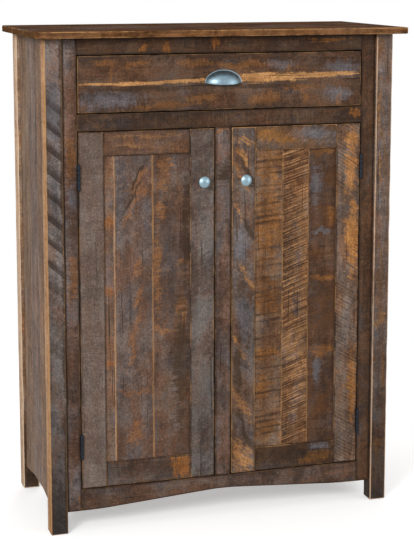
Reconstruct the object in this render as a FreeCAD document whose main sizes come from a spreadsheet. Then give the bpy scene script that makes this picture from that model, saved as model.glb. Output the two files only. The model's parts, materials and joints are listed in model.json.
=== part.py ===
import FreeCAD, Part
import math
import os
import re

import Sketcher

# A rustic floor-standing cupboard of reclaimed boards: four corner posts that run down as legs,
# glued-up side panels, a face frame with an arched lower rail, one drawer over two framed doors,
# a floor, a deck under the drawer and two adjustable shelves.
#
# The frame: millimetres, +Z up, +X to the right of someone who looks at the doors, +Y to the back.
# The origin is on the floor, under the middle of the top.

doc = FreeCAD.newDocument("cupboard")

# Driving dimensions, in millimetres unless the note says otherwise.

SIZES = [
    # The carcass.
    ("carcass_width", 918, "over the outer faces of the posts"),
    ("carcass_depth", 415, "from the front to the back of the posts"),
    ("post_size", 45, "side of a square post"),
    ("post_round", 2, "softened edge of a post"),
    ("board_round", 1, "softened edge of a frame, door or drawer board"),
    ("groove_play", 0.1, "play of a panel in its groove"),
    # The face frame, from the floor up and from the post inwards.
    ("floor_clearance", 54, "height of the face frame above the floor"),
    ("bottom_rail_height", 56, "height of the arched rail at its ends"),
    ("door_opening_height", 914, "between the bottom rail and the middle rail"),
    ("middle_rail_height", 42, "rail between doors and drawer"),
    ("drawer_opening_height", 145, "between the middle rail and the top rail"),
    ("top_rail_height", 42, "rail above the drawer"),
    ("frame_stile_width", 37, "upright beside a post"),
    ("mullion_width", 42, "upright between the doors"),
    ("frame_thickness", 20, "face frame, doors and drawer front"),
    ("frame_recess", 9.5, "face frame behind the front of the posts"),
    ("arch_rise", 21, "rise of the arch under the bottom rail"),
    ("arch_shoulder", 15, "flat at each end of the arch"),
    ("arch_end_radius", 900, "hollow curve where the arch starts"),
    ("arch_crown_radius", 700, "round crown of the arch"),
    # The top.
    ("top_thickness", 17, "thickness of the top boards"),
    ("top_overhang_front", 33, "top in front of the posts"),
    ("top_overhang_side", 27.5, "top beside the posts"),
    ("top_round", 2.5, "softened edge of the top boards"),
    # The sides and the back.
    ("side_panel_recess", 10, "side panel behind the outer faces of the posts"),
    ("side_panel_thickness", 16, "thickness of a side panel"),
    ("side_panel_tongue", 8, "side panel inside the groove of a post"),
    ("side_panel_clearance", 60, "height of a side panel above the floor"),
    ("side_arch_rise", 17, "rise of the arch under a side panel"),
    ("back_panel_thickness", 6, "thickness of the back panel"),
    ("back_rebate_width", 10, "step of a back post that takes the back panel"),
    ("back_rail_thickness", 18, "rail inside the back, under the top"),
    # The floor, the deck and the shelves.
    ("cabinet_floor_thickness", 18, "thickness of the cabinet floor"),
    ("floor_cleat_height", 15, "cleat under the cabinet floor"),
    ("floor_cleat_width", 20, "cleat under the cabinet floor"),
    ("deck_thickness", 12, "board between doors and drawer"),
    ("shelf_thickness", 18, "thickness of a shelf"),
    ("shelf_play", 1, "gap round a shelf"),
    ("lower_shelf_rise", 297, "underside of the lower shelf above the cabinet floor"),
    ("shelf_spacing", 305, "from the lower to the upper shelf"),
    ("shelf_pin_radius", 2.5, "radius of a shelf pin"),
    ("shelf_pin_fit", 0.05, "radial play of a shelf pin in its hole"),
    ("shelf_pin_hole_depth", 10, "depth of a shelf pin hole"),
    ("shelf_pin_reach", 8, "shelf pin out of its post"),
    ("shelf_pin_step", 32, "between the shelf pin holes of a row"),
    ("shelf_pin_front_inset", 7.5, "front shelf pins behind the face frame"),
    ("shelf_pin_back_inset", 25, "back shelf pins in front of the back panel"),
    # The doors.
    ("door_gap", 2.5, "gap round a door"),
    ("door_stile_width", 64, "upright of a door"),
    ("door_top_rail_height", 61, "upper rail of a door"),
    ("door_bottom_rail_height", 63, "lower rail of a door"),
    ("door_groove_depth", 8, "groove that holds the planks and the rails"),
    ("door_groove_play", 0.3, "between a plank or a tenon and its groove"),
    ("plank_thickness", 10, "thickness of a door plank"),
    ("plank_recess", 6, "planks behind the face of the door"),
    ("left_plank_first", 27, "seen width of the left door's first plank"),
    ("left_plank_second", 99, "seen width of the left door's second plank"),
    ("right_plank_first", 76, "seen width of the right door's first plank"),
    ("right_plank_second", 71, "seen width of the right door's second plank"),
    # The hinges.
    ("hinge_height", 64, "height of a hinge"),
    ("hinge_offset", 111, "middle of a hinge from the end of its door"),
    ("hinge_barrel_radius", 4, "outside of the knuckles"),
    ("hinge_barrel_clearance", 0.3, "between the knuckles and the face of the wood"),
    ("hinge_pin_radius", 2, "radius of a hinge pin"),
    ("hinge_pin_fit", 0.05, "radial play of a pin in its knuckles"),
    ("hinge_pin_tip", 1, "pin past the last knuckle"),
    ("hinge_leaf_thickness", 1, "thickness of a leaf"),
    ("hinge_leaf_depth", 17, "leaf along the edge of the wood"),
    ("hinge_knuckle_gap", 0.3, "between two knuckles"),
    # The door knobs.
    ("knob_drop", 133.5, "knob below the upper edge of its door"),
    ("knob_radius", 15, "radius of a knob"),
    ("knob_reach", 26, "knob in front of its door"),
    ("knob_dome", 8, "height of the domed face of a knob"),
    ("knob_rim", 1.5, "straight rim under the dome"),
    ("knob_neck_radius", 5.5, "narrowest radius of a knob"),
    ("knob_foot_radius", 8, "foot of a knob on its door"),
    ("knob_foot_height", 1.5, "height of the foot"),
    ("knob_neck_height", 8.5, "where the neck starts to flare, above the door"),
    ("knob_flare_radius", 13, "hollow curve from the neck to the rim"),
    ("knob_stud_radius", 2, "stud that holds a knob in its stile"),
    ("knob_stud_length", 14, "stud inside the stile"),
    ("knob_stud_fit", 0.1, "radial play of the stud in its hole"),
    # The magnetic catches.
    ("catch_width", 46, "case of a catch"),
    ("catch_depth", 14, "case of a catch"),
    ("catch_height", 14, "case of a catch"),
    ("catch_pole_thickness", 1.2, "steel pole plate of a catch"),
    ("catch_pole_reach", 1, "pole plate in front of its case"),
    ("catch_pole_inset", 4, "pole plate inside the ends of the case"),
    ("catch_gap", 0.3, "between a pole plate and its strike plate"),
    ("strike_width", 40, "strike plate on a door"),
    ("strike_height", 12, "strike plate on a door"),
    ("strike_thickness", 1.2, "strike plate on a door"),
    ("strike_drop", 1, "strike plate below the upper edge of its door"),
    # The drawer.
    ("drawer_gap", 2.5, "gap round the drawer front"),
    ("box_height", 110, "height of the drawer box"),
    ("box_lift", 12, "drawer box above the middle rail"),
    ("box_board_thickness", 12, "sides, front and back of the drawer box"),
    ("box_bottom_thickness", 6, "bottom of the drawer box"),
    ("box_groove_depth", 6, "groove that holds the bottom"),
    ("box_bottom_lift", 10, "bottom above the lower edge of the box"),
    ("slide_back_room", 29.5, "between the slides and the back panel"),
    ("slide_width", 12.7, "slide between the drawer box and its rail"),
    ("slide_height", 45, "height of a slide"),
    ("slide_lift", 15, "slide above the lower edge of the box"),
    ("slide_sheet", 1.2, "sheet that a slide is rolled from"),
    ("slide_play", 0.35, "between two members of a slide"),
    ("slide_web_gap", 2, "between the webs of the outer and the middle member"),
    ("slide_lip", 1.3, "flanges of the outer member short of the drawer box"),
    ("slide_overlap", 6.1, "flanges of the inner member"),
    ("drawer_rail_height", 112, "rail that carries a slide"),
    # The cup pull of the drawer.
    ("pull_width", 98, "width over the rim"),
    ("pull_height", 33, "from the mouth to the top of the rim"),
    ("pull_reach", 25, "how far the cup stands out"),
    ("pull_wall", 1.8, "wall of the cup"),
    ("pull_rim", 3, "rim round the cup"),
    ("pull_rim_thickness", 1.6, "thickness of the rim"),
    ("pull_lip_drop", 3.5, "outer edge of the mouth below its inner edge"),
    ("pull_drop", 3, "mouth of the cup below the middle of the drawer front"),
    ("pull_screw_spacing", 76, "between the two screws"),
    ("pull_screw_rise", 8, "screws above the mouth"),
    ("pull_screw_radius", 2, "radius of a screw"),
    ("pull_screw_fit", 0.1, "radial play of a screw in the cup"),
    ("pull_screw_hole_play", 0.25, "radial play of a screw in the drawer boards"),
    ("pull_screw_bite", 7, "screw inside the cup"),
    ("pull_screw_head_radius", 4, "head of a screw"),
    ("pull_screw_head_height", 2.5, "head of a screw"),
    ("pull_boss_radius", 4, "boss inside the cup round a screw"),
]

# Places and sizes that follow from the driving dimensions.

PLACES = [
    ("posts_front", "(top_overhang_front - carcass_depth) / 2", "front of the posts"),
    ("posts_back", "(top_overhang_front + carcass_depth) / 2", "back of the posts"),
    ("frame_front", "posts_front + frame_recess", "face of the face frame, doors and drawer"),
    ("frame_back", "frame_front + frame_thickness", "back of the face frame"),
    ("back_panel_front", "posts_back - back_panel_thickness", "front of the back panel"),
    ("door_sill", "floor_clearance + bottom_rail_height", "top of the bottom rail"),
    ("door_head", "door_sill + door_opening_height", "underside of the middle rail"),
    ("drawer_sill", "door_head + middle_rail_height", "top of the middle rail"),
    ("drawer_head", "drawer_sill + drawer_opening_height", "underside of the top rail"),
    ("carcass_height", "drawer_head + top_rail_height", "underside of the top"),
    ("half_width", "carcass_width / 2", "outer faces of the posts"),
    ("half_between_posts", "half_width - post_size", "inner faces of the posts"),
    ("half_opening", "half_between_posts - frame_stile_width", "inner edges of the frame stiles"),
    ("half_inside", "half_width - side_panel_recess - side_panel_thickness", "inside of the panels"),
    ("frame_rail_length", "2 * half_opening", "rails between the frame stiles"),
    ("side_span", "carcass_depth - 2 * post_size", "between a front and a back post"),
    ("side_arch_radius", "((side_span / 2) ^ 2 + side_arch_rise ^ 2) / (2 * side_arch_rise)",
     "arch under a side panel"),
    ("inside_depth", "back_panel_front - frame_back", "from the face frame to the back panel"),
    ("notch_side", "half_inside - half_between_posts", "post inside the side panel"),
    ("notch_front", "posts_front + post_size - frame_back", "front post behind the face frame"),
    ("notch_back", "back_panel_front - posts_back + post_size", "back post before the back panel"),
    # The arch under the bottom rail: a hollow arc, a straight ramp and half of the crown.
    ("arch_run", "half_opening - arch_shoulder", "half of the arch"),
    ("arch_radii", "arch_end_radius + arch_crown_radius", "both radii together"),
    ("arch_reach", "sqrt(arch_run ^ 2 + (arch_radii - arch_rise) ^ 2)", "between both centres"),
    ("arch_slope", "90 deg - atan2(arch_radii - arch_rise; arch_run) - acos(arch_radii / arch_reach)",
     "angle of the ramp"),
    ("arch_end_run", "arch_end_radius * sin(arch_slope)", "hollow arc along the rail"),
    ("arch_end_rise", "arch_end_radius * (1 - cos(arch_slope))", "hollow arc upwards"),
    ("arch_crown_run", "arch_crown_radius * sin(arch_slope)", "half crown along the rail"),
    ("arch_crown_fall", "arch_crown_radius * (1 - cos(arch_slope))", "half crown downwards"),
    # The doors.
    ("door_width", "half_opening - mullion_width / 2 - 2 * door_gap", "one door"),
    ("door_height", "door_opening_height - 2 * door_gap", "one door"),
    ("door_bottom", "door_sill + door_gap", "lower edge of the doors"),
    ("door_top", "door_bottom + door_height", "upper edge of the doors"),
    ("left_door_edge", "0 - half_opening + door_gap", "left edge of the left door"),
    ("right_door_edge", "mullion_width / 2 + door_gap", "left edge of the right door"),
    ("panel_width", "door_width - 2 * door_stile_width", "seen width of the planks"),
    ("panel_height", "door_height - door_top_rail_height - door_bottom_rail_height", "seen height"),
    ("tenon", "door_groove_depth - door_groove_play", "plank or rail inside its groove"),
    ("groove_front", "plank_recess - door_groove_play", "groove behind the face of the door"),
    ("groove_width", "plank_thickness + 2 * door_groove_play", "groove round the planks"),
    # The hinges.
    ("hinge_pin_x", "half_opening - door_gap / 2", "pin axis, in the middle of the gap"),
    ("hinge_standoff", "hinge_barrel_radius + hinge_barrel_clearance", "pin axis before the face"),
    ("hinge_pin_y", "frame_front - hinge_standoff", "pin axis"),
    ("knuckle_height", "(hinge_height - 4 * hinge_knuckle_gap) / 5", "one knuckle"),
    ("knuckle_pitch", "knuckle_height + hinge_knuckle_gap", "from knuckle to knuckle"),
    ("upper_hinge_bottom", "door_top - hinge_offset - hinge_height / 2", "lower end"),
    ("lower_hinge_bottom", "door_bottom + hinge_offset - hinge_height / 2", "lower end"),
    # Knobs and catches.
    ("knob_height", "door_top - knob_drop", "axis of the knobs"),
    ("knob_x", "mullion_width / 2 + door_gap + door_stile_width / 2", "axis of a knob"),
    ("knob_rim_height", "knob_reach - knob_dome - knob_rim", "widest part starts"),
    ("knob_dome_radius", "(knob_radius ^ 2 + knob_dome ^ 2) / (2 * knob_dome)", "domed face"),
    ("catch_front", "frame_back + strike_thickness + catch_gap + catch_pole_reach", "case"),
    # The shelves on their pins.
    ("lower_shelf_bottom", "door_sill + lower_shelf_rise", "underside"),
    ("upper_shelf_bottom", "lower_shelf_bottom + shelf_spacing", "underside"),
    ("shelf_pin_front_y", "frame_back + shelf_pin_front_inset", "front pins"),
    ("shelf_pin_back_y", "back_panel_front - shelf_pin_back_inset", "back pins"),
    # The drawer.
    ("drawer_front_width", "frame_rail_length - 2 * drawer_gap", "drawer front"),
    ("drawer_front_height", "drawer_opening_height - 2 * drawer_gap", "drawer front"),
    ("drawer_front_bottom", "drawer_sill + drawer_gap", "lower edge of the drawer front"),
    ("half_box", "half_opening - slide_width", "outer faces of the drawer box"),
    ("box_bottom_edge", "drawer_sill + box_lift", "lower edge of the drawer box"),
    ("box_inner_width", "2 * (half_box - box_board_thickness)", "between the drawer sides"),
    ("box_groove_height", "box_bottom_thickness + 2 * groove_play", "groove of the bottom"),
    ("slide_length", "back_panel_front - frame_back - slide_back_room", "slides and drawer box"),
    ("slide_bottom", "box_bottom_edge + slide_lift", "lower edge of a slide"),
    ("outer_flange", "slide_width - slide_lip", "outer member across the slide"),
    ("middle_web", "slide_sheet + slide_web_gap", "middle member starts here"),
    ("middle_inset", "slide_sheet + slide_play", "middle member inside the outer member"),
    ("inner_inset", "middle_inset + slide_sheet + slide_play", "inner member inside the middle"),
    ("inner_start", "slide_width - slide_sheet - slide_overlap", "inner member starts here"),
    ("deck_top", "door_head + deck_thickness", "upper face of the deck"),
    # The cup pull, from the middle of its mouth at the drawer front.
    ("pull_mouth", "drawer_front_bottom + drawer_front_height / 2 - pull_drop", "height"),
    ("cup_half_width", "pull_width / 2 - pull_rim", "cup without its rim"),
    ("cup_height", "pull_height - pull_rim", "cup without its rim"),
    ("pull_screw_height", "pull_mouth + pull_screw_rise", "axis of the screws"),
    ("pull_screw_length", "box_board_thickness + frame_thickness + pull_screw_bite", "shank"),
]

sizes = doc.addObject("Spreadsheet::Sheet", "Sizes")
places = doc.addObject("Spreadsheet::Sheet", "Places")
SHEET_OF = {}
for alias, _, _ in SIZES:
    SHEET_OF[alias] = "Sizes"
for alias, _, _ in PLACES:
    SHEET_OF[alias] = "Places"


def bind(text):
    """Write a formula of plain names so that each name points to its sheet."""
    return re.sub(r"[a-z_]+", lambda word: f"{SHEET_OF[word.group()]}.{word.group()}"
                  if word.group() in SHEET_OF else word.group(), str(text))


def fill_sheets():
    for row, (name, number, note) in enumerate(SIZES, start=1):
        sizes.set(f"A{row}", note)
        sizes.set(f"B{row}", str(number))
        sizes.setAlias(f"B{row}", name)
    doc.recompute()
    for row, (name, formula, note) in enumerate(PLACES, start=1):
        places.set(f"A{row}", note)
        places.set(f"B{row}", "=" + bind(formula))
        places.setAlias(f"B{row}", name)
        doc.recompute()


def number(text):
    """The present value of a formula, to draw a sketch close to its final form."""
    result = places.evalExpression(bind(text))
    return float(getattr(result, "Value", result))


# Helpers that draw and place.


def bound(thing, prop, text):
    thing.setExpression(prop, bind(text))


def place(thing, x, y, z, axis=None, angle=0):
    """Put a piece where the formulas say, turned about an axis through its own origin."""
    if axis is not None:
        turn = FreeCAD.Rotation(FreeCAD.Vector(*axis), angle)
        thing.Placement = FreeCAD.Placement(FreeCAD.Vector(0, 0, 0), turn)
    for letter, text in zip("xyz", (x, y, z)):
        bound(thing, f".Placement.Base.{letter}", text)


def new_body(label):
    body = doc.addObject("PartDesign::Body", label)
    body.Label = label
    return body


def origin_feature(body, role):
    return [feature for feature in body.Origin.OriginFeatures if feature.Role == role][0]


def new_sketch(body, role, offset=None):
    """A sketch on an origin plane of its own body, lifted off the plane by a formula."""
    sketch = body.newObject("Sketcher::SketchObject", body.Label + "_sketch")
    sketch.AttachmentSupport = [(origin_feature(body, role), "")]
    sketch.MapMode = "FlatFace"
    if offset is not None:
        bound(sketch, ".AttachmentOffset.Base.z", offset)
    return sketch


def pin_point(sketch, edge, end, x, y):
    """Tie one end of an edge to its place, measured from the sketch's origin."""
    for kind, text, axis in (("DistanceX", x, -2), ("DistanceY", y, -1)):
        if text == "0":
            sketch.addConstraint(Sketcher.Constraint("PointOnObject", edge, end, axis))
        else:
            rule = Sketcher.Constraint(kind, -1, 1, edge, end, number(text))
            bound(sketch, f"Constraints[{sketch.addConstraint(rule)}]", text)


def arc_between(start, end, radius, centre_side):
    """The short arc from start to end, with its centre on the left (1) or right (-1)."""
    chord = end - start
    across = FreeCAD.Vector(-chord.y, chord.x, 0).normalize()
    depth = math.sqrt(max(radius ** 2 - (chord.Length / 2) ** 2, 0))
    centre = (start + end) * 0.5 + across * depth * centre_side
    first, last = (start, end) if centre_side > 0 else (end, start)
    angles = [math.atan2(point.y - centre.y, point.x - centre.x) for point in (first, last)]
    circle = Part.Circle(centre, FreeCAD.Vector(0, 0, 1), radius)
    return Part.ArcOfCircle(circle, *angles)


def draw(sketch, corners, arcs=None):
    """A closed outline. arcs gives the radius and the side of the centre of a curved edge."""
    arcs = arcs or {}
    points = [FreeCAD.Vector(number(x), number(y), 0) for x, y in corners]
    ends = []
    for edge, start in enumerate(points):
        end = points[(edge + 1) % len(points)]
        if edge in arcs:
            radius, centre_side = arcs[edge]
            sketch.addGeometry(arc_between(start, end, number(radius), centre_side), False)
            ends.append((1, 2) if centre_side > 0 else (2, 1))
        else:
            sketch.addGeometry(Part.LineSegment(start, end), False)
            ends.append((1, 2))
    for edge in range(len(points)):
        following = (edge + 1) % len(points)
        sketch.addConstraint(Sketcher.Constraint(
            "Coincident", edge, ends[edge][1], following, ends[following][0]))
    for edge, (x, y) in enumerate(corners):
        pin_point(sketch, edge, ends[edge][0], x, y)
    for edge, (radius, _) in arcs.items():
        rule = Sketcher.Constraint("Radius", edge, number(radius))
        bound(sketch, f"Constraints[{sketch.addConstraint(rule)}]", radius)


def draw_circle(sketch, x, y, radius):
    centre = FreeCAD.Vector(number(x), number(y), 0)
    circle = Part.Circle(centre, FreeCAD.Vector(0, 0, 1), number(radius))
    edge = sketch.addGeometry(circle, False)
    pin_point(sketch, edge, 3, x, y)
    rule = Sketcher.Constraint("Radius", edge, number(radius))
    bound(sketch, f"Constraints[{sketch.addConstraint(rule)}]", radius)


def rectangle(x, y, width, height):
    """The corners of a rectangle from its lowest corner and its size."""
    right = f"{x} + {width}"
    top = f"{y} + {height}"
    return [(x, y), (right, y), (right, top), (x, top)]


def pad(body, sketch, length, back=False):
    feature = body.newObject("PartDesign::Pad", body.Label + "_pad")
    feature.Profile = sketch
    bound(feature, "Length", length)
    feature.Reversed = back
    return feature


def pocket(body, sketch, length, back=False):
    feature = body.newObject("PartDesign::Pocket", body.Label + "_pocket")
    feature.Profile = sketch
    bound(feature, "Length", length)
    feature.Reversed = back
    return feature


def soften(body, radius):
    """Round every edge that the body has so far, as far as its walls allow."""
    base = body.Tip
    doc.recompute()
    box = base.Shape.BoundBox
    wall = min(box.XLength, box.YLength, box.ZLength)
    feature = body.newObject("PartDesign::Fillet", body.Label + "_round")
    feature.Base = (base, [""])
    feature.UseAllEdges = True
    bound(feature, "Radius", f"min({radius}; {wall * 0.4:.3f})")
    return feature


def repeat_up(body, features, pitch, count):
    """Repeat features along the body's own +Z."""
    pattern = body.newObject("PartDesign::LinearPattern", body.Label + "_row")
    pattern.Originals = features
    pattern.Direction = (origin_feature(body, "Z_Axis"), [""])
    pattern.Occurrences = count
    bound(pattern, "Length", f"{pitch} * {count - 1}")
    body.Tip = pattern
    return pattern


def board(label, size, corner, radius="board_round"):
    """A straight board: its size and its lowest corner, each as formulas for x, y and z."""
    body = new_body(label)
    sketch = new_sketch(body, "XY_Plane")
    draw(sketch, rectangle("0", "0", size[0], size[1]))
    pad(body, sketch, size[2])
    soften(body, radius)
    place(body, *corner)
    return body


def block(label, size, corner):
    """A plain block with sharp edges."""
    box = doc.addObject("Part::Box", label)
    box.Label = label
    for prop, text in zip(("Length", "Width", "Height"), size):
        bound(box, prop, text)
    place(box, *corner)
    return box


def cylinder(label, radius, height):
    rod = doc.addObject("Part::Cylinder", label)
    bound(rod, "Radius", radius)
    bound(rod, "Height", height)
    return rod


def boolean(kind, label, first, second):
    """Part::Cut or Part::Common of two shapes."""
    result = doc.addObject(kind, label)
    result.Base = first
    result.Tool = second
    return result


def fuse(label, shapes):
    result = doc.addObject("Part::MultiFuse", label)
    result.Shapes = shapes
    return result


def group(label, pattern, spots):
    """Copies of one small piece at several spots, kept together as separate solids."""
    copies = []
    for spot in spots:
        copy = doc.addObject("App::Link", label + "_copy")
        copy.LinkedObject = pattern
        place(copy, *spot)
        copies.append(copy)
    compound = doc.addObject("Part::Compound", label)
    compound.Label = label
    compound.Links = copies
    return compound


# The carcass: posts, side panels, top and back.


def post(side, row):
    """A corner post with the groove of its side panel and the holes of the shelf pins."""
    left = side == "left"
    front = row == "front"
    body = new_body(f"post_{row}_{side}")
    sketch = new_sketch(body, "XY_Plane")
    draw(sketch, rectangle("0", "0", "post_size", "post_size"))
    pad(body, sketch, "carcass_height")
    soften(body, "post_round")

    groove_x = "side_panel_recess - groove_play"
    if not left:
        groove_x = "post_size - side_panel_recess - side_panel_thickness - groove_play"
    groove_y = "post_size - side_panel_tongue - groove_play" if front else "0"
    sketch = new_sketch(body, "XY_Plane", "side_panel_clearance")
    draw(sketch, rectangle(groove_x, groove_y, "side_panel_thickness + 2 * groove_play",
                           "side_panel_tongue + groove_play"))
    pocket(body, sketch, "carcass_height - side_panel_clearance", back=True)

    if not front:
        rebate_x = "post_size - back_rebate_width" if left else "0"
        sketch = new_sketch(body, "XY_Plane", "door_sill - cabinet_floor_thickness")
        draw(sketch, rectangle(rebate_x, "post_size - back_panel_thickness",
                               "back_rebate_width", "back_panel_thickness"))
        pocket(body, sketch, "carcass_height - door_sill + cabinet_floor_thickness", back=True)

    pin_y = "shelf_pin_front_y - posts_front"
    if not front:
        pin_y = "shelf_pin_back_y - posts_back + post_size"
    for shelf_bottom in ("lower_shelf_bottom", "upper_shelf_bottom"):
        sketch = new_sketch(body, "YZ_Plane", "post_size" if left else "0")
        draw_circle(sketch, pin_y, f"{shelf_bottom} - shelf_pin_radius - shelf_pin_step",
                    "shelf_pin_radius + shelf_pin_fit")
        hole = pocket(body, sketch, "shelf_pin_hole_depth", back=not left)
        doc.recompute()
        repeat_up(body, [hole], "shelf_pin_step", 3)

    x = "0 - half_width" if left else "half_width - post_size"
    y = "posts_front" if front else "posts_back - post_size"
    place(body, x, y, "0")
    return body


def side_panel(side):
    """Glued-up upright boards that stand in the grooves of two posts, arched below."""
    body = new_body(f"side_panel_{side}")
    width = "side_span + 2 * side_panel_tongue"
    height = "carcass_height - side_panel_clearance"
    sketch = new_sketch(body, "YZ_Plane")
    draw(sketch,
         [("0", "0"), ("side_panel_tongue", "0"), ("side_panel_tongue + side_span", "0"),
          (width, "0"), (width, height), ("0", height)],
         {1: ("side_arch_radius", -1)})
    pad(body, sketch, "side_panel_thickness")
    x = "0 - half_width + side_panel_recess" if side == "left" else "half_inside"
    place(body, x, "posts_front + post_size - side_panel_tongue", "side_panel_clearance")
    return body


def top_boards():
    """Three long boards, glued edge to edge, that lie on the posts."""
    depth = "(carcass_depth + top_overhang_front) / 3"
    length = "carcass_width + 2 * top_overhang_side"
    for count, name in enumerate(("front", "middle", "back")):
        board(f"top_board_{name}", (length, depth, "top_thickness"),
              ("0 - half_width - top_overhang_side",
               f"posts_front - top_overhang_front + {count} * {depth}", "carcass_height"),
              "top_round")


def back():
    block("back_panel",
          ("2 * (half_between_posts + back_rebate_width - groove_play)", "back_panel_thickness",
           "carcass_height - door_sill + cabinet_floor_thickness"),
          ("0 - half_between_posts - back_rebate_width + groove_play", "back_panel_front",
           "door_sill - cabinet_floor_thickness"))
    board("back_rail_top", ("2 * half_between_posts", "back_rail_thickness", "top_rail_height"),
          ("0 - half_between_posts", "back_panel_front - back_rail_thickness", "drawer_head"))


# The face frame.


def face_frame():
    stile = ("frame_stile_width", "frame_thickness", "carcass_height - floor_clearance")
    board("face_stile_left", stile, ("0 - half_between_posts", "frame_front", "floor_clearance"))
    board("face_stile_right", stile, ("half_opening", "frame_front", "floor_clearance"))
    for name, height, bottom in (("top", "top_rail_height", "drawer_head"),
                                 ("middle", "middle_rail_height", "door_head")):
        board(f"face_rail_{name}", ("frame_rail_length", "frame_thickness", height),
              ("0 - half_opening", "frame_front", bottom))
    board("face_mullion", ("mullion_width", "frame_thickness", "door_opening_height"),
          ("0 - mullion_width / 2", "frame_front", "door_sill"))


def arched_rail():
    """The bottom rail: flat shoulders, hollow arcs, straight ramps and a round crown."""
    body = new_body("face_rail_bottom")
    length = "frame_rail_length"
    ramp_start = "arch_shoulder + arch_end_run"
    ramp_end = "frame_rail_length / 2 - arch_crown_run"
    crown_side = "arch_rise - arch_crown_fall"
    sketch = new_sketch(body, "XZ_Plane")
    draw(sketch,
         [("0", "0"), ("arch_shoulder", "0"), (ramp_start, "arch_end_rise"),
          (ramp_end, crown_side), (f"{length} - ({ramp_end})", crown_side),
          (f"{length} - ({ramp_start})", "arch_end_rise"), (f"{length} - arch_shoulder", "0"),
          (length, "0"), (length, "bottom_rail_height"), ("0", "bottom_rail_height")],
         {1: ("arch_end_radius", 1), 3: ("arch_crown_radius", -1), 5: ("arch_end_radius", 1)})
    pad(body, sketch, "frame_thickness", back=True)
    place(body, "0 - half_opening", "frame_front", "floor_clearance")


# The floor, the deck, the shelves and what carries them.


def notched_board(label, thickness, play, bottom):
    """A level board that fills the inside and is notched round the four posts."""
    body = new_body(label)
    width = f"2 * half_inside - 2 * {play}"
    depth = f"inside_depth - 2 * {play}"
    sketch = new_sketch(body, "XY_Plane")
    draw(sketch,
         [("notch_side", "0"), (f"{width} - notch_side", "0"),
          (f"{width} - notch_side", "notch_front"), (width, "notch_front"),
          (width, f"{depth} - notch_back"), (f"{width} - notch_side", f"{depth} - notch_back"),
          (f"{width} - notch_side", depth), ("notch_side", depth),
          ("notch_side", f"{depth} - notch_back"), ("0", f"{depth} - notch_back"),
          ("0", "notch_front"), ("notch_side", "notch_front")])
    pad(body, sketch, thickness)
    place(body, f"0 - half_inside + {play}", f"frame_back + {play}", bottom)


def inside_boards():
    notched_board("cabinet_floor", "cabinet_floor_thickness", "0",
                  "door_sill - cabinet_floor_thickness")
    notched_board("drawer_deck", "deck_thickness", "0", "door_head")
    notched_board("shelf_lower", "shelf_thickness", "shelf_play", "lower_shelf_bottom")
    notched_board("shelf_upper", "shelf_thickness", "shelf_play", "upper_shelf_bottom")

    cleat = block("floor_cleat", ("floor_cleat_width", "side_span", "floor_cleat_height"),
                  ("0", "0", "0"))
    cleat_y = "posts_front + post_size"
    cleat_z = "door_sill - cabinet_floor_thickness - floor_cleat_height"
    group("floor_cleats", cleat,
          [("0 - half_inside", cleat_y, cleat_z),
           ("half_inside - floor_cleat_width", cleat_y, cleat_z)])

    for side, x in (("left", "0 - half_between_posts"), ("right", "half_opening")):
        board(f"drawer_rail_{side}", ("frame_stile_width", "inside_depth", "drawer_rail_height"),
              (x, "frame_back", "deck_top"))


def shelf_pins():
    """Eight pins: one in the middle hole of each row in each post."""
    pin = cylinder("shelf_pin", "shelf_pin_radius", "shelf_pin_hole_depth + shelf_pin_reach")
    spots = []
    for shelf_bottom in ("lower_shelf_bottom", "upper_shelf_bottom"):
        for pin_y in ("shelf_pin_front_y", "shelf_pin_back_y"):
            for x in ("0 - half_between_posts - shelf_pin_hole_depth",
                      "half_between_posts - shelf_pin_reach"):
                spots.append((x, pin_y, f"{shelf_bottom} - shelf_pin_radius", (0, 1, 0), 90))
    group("shelf_pins", pin, spots)


# The doors.


def door_stile(label, edge, groove_on_right, knob):
    """An upright of a door, grooved for the planks and the rails."""
    body = new_body(label)
    sketch = new_sketch(body, "XY_Plane")
    draw(sketch, rectangle("0", "0", "door_stile_width", "frame_thickness"))
    pad(body, sketch, "door_height")
    soften(body, "board_round")
    groove_x = "door_stile_width - door_groove_depth" if groove_on_right else "0"
    sketch = new_sketch(body, "XY_Plane")
    draw(sketch, rectangle(groove_x, "groove_front", "door_groove_depth", "groove_width"))
    pocket(body, sketch, "door_height", back=True)
    if knob:
        sketch = new_sketch(body, "XZ_Plane")
        draw_circle(sketch, "door_stile_width / 2", "door_height - knob_drop",
                    "knob_stud_radius + knob_stud_fit")
        pocket(body, sketch, "knob_stud_length + door_groove_play")
    place(body, edge, "frame_front", "door_bottom")


def door_rail(label, height, edge, upper):
    """A rail of a door with stub tenons, grooved for the planks on one edge."""
    body = new_body(label)
    sketch = new_sketch(body, "XY_Plane")
    draw(sketch, rectangle("tenon", "0", "panel_width", "frame_thickness"))
    pad(body, sketch, height)
    soften(body, "board_round")
    sketch = new_sketch(body, "XY_Plane")
    draw(sketch, rectangle("0", "plank_recess", "panel_width + 2 * tenon", "plank_thickness"))
    pad(body, sketch, height)
    groove_z = "0" if upper else f"{height} - door_groove_depth"
    sketch = new_sketch(body, "XY_Plane", groove_z)
    draw(sketch, rectangle("0", "groove_front", "panel_width + 2 * tenon", "groove_width"))
    pocket(body, sketch, "door_groove_depth", back=True)
    bottom = f"door_top - {height}" if upper else "door_bottom"
    place(body, f"{edge} + door_stile_width - tenon", "frame_front", bottom)


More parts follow.
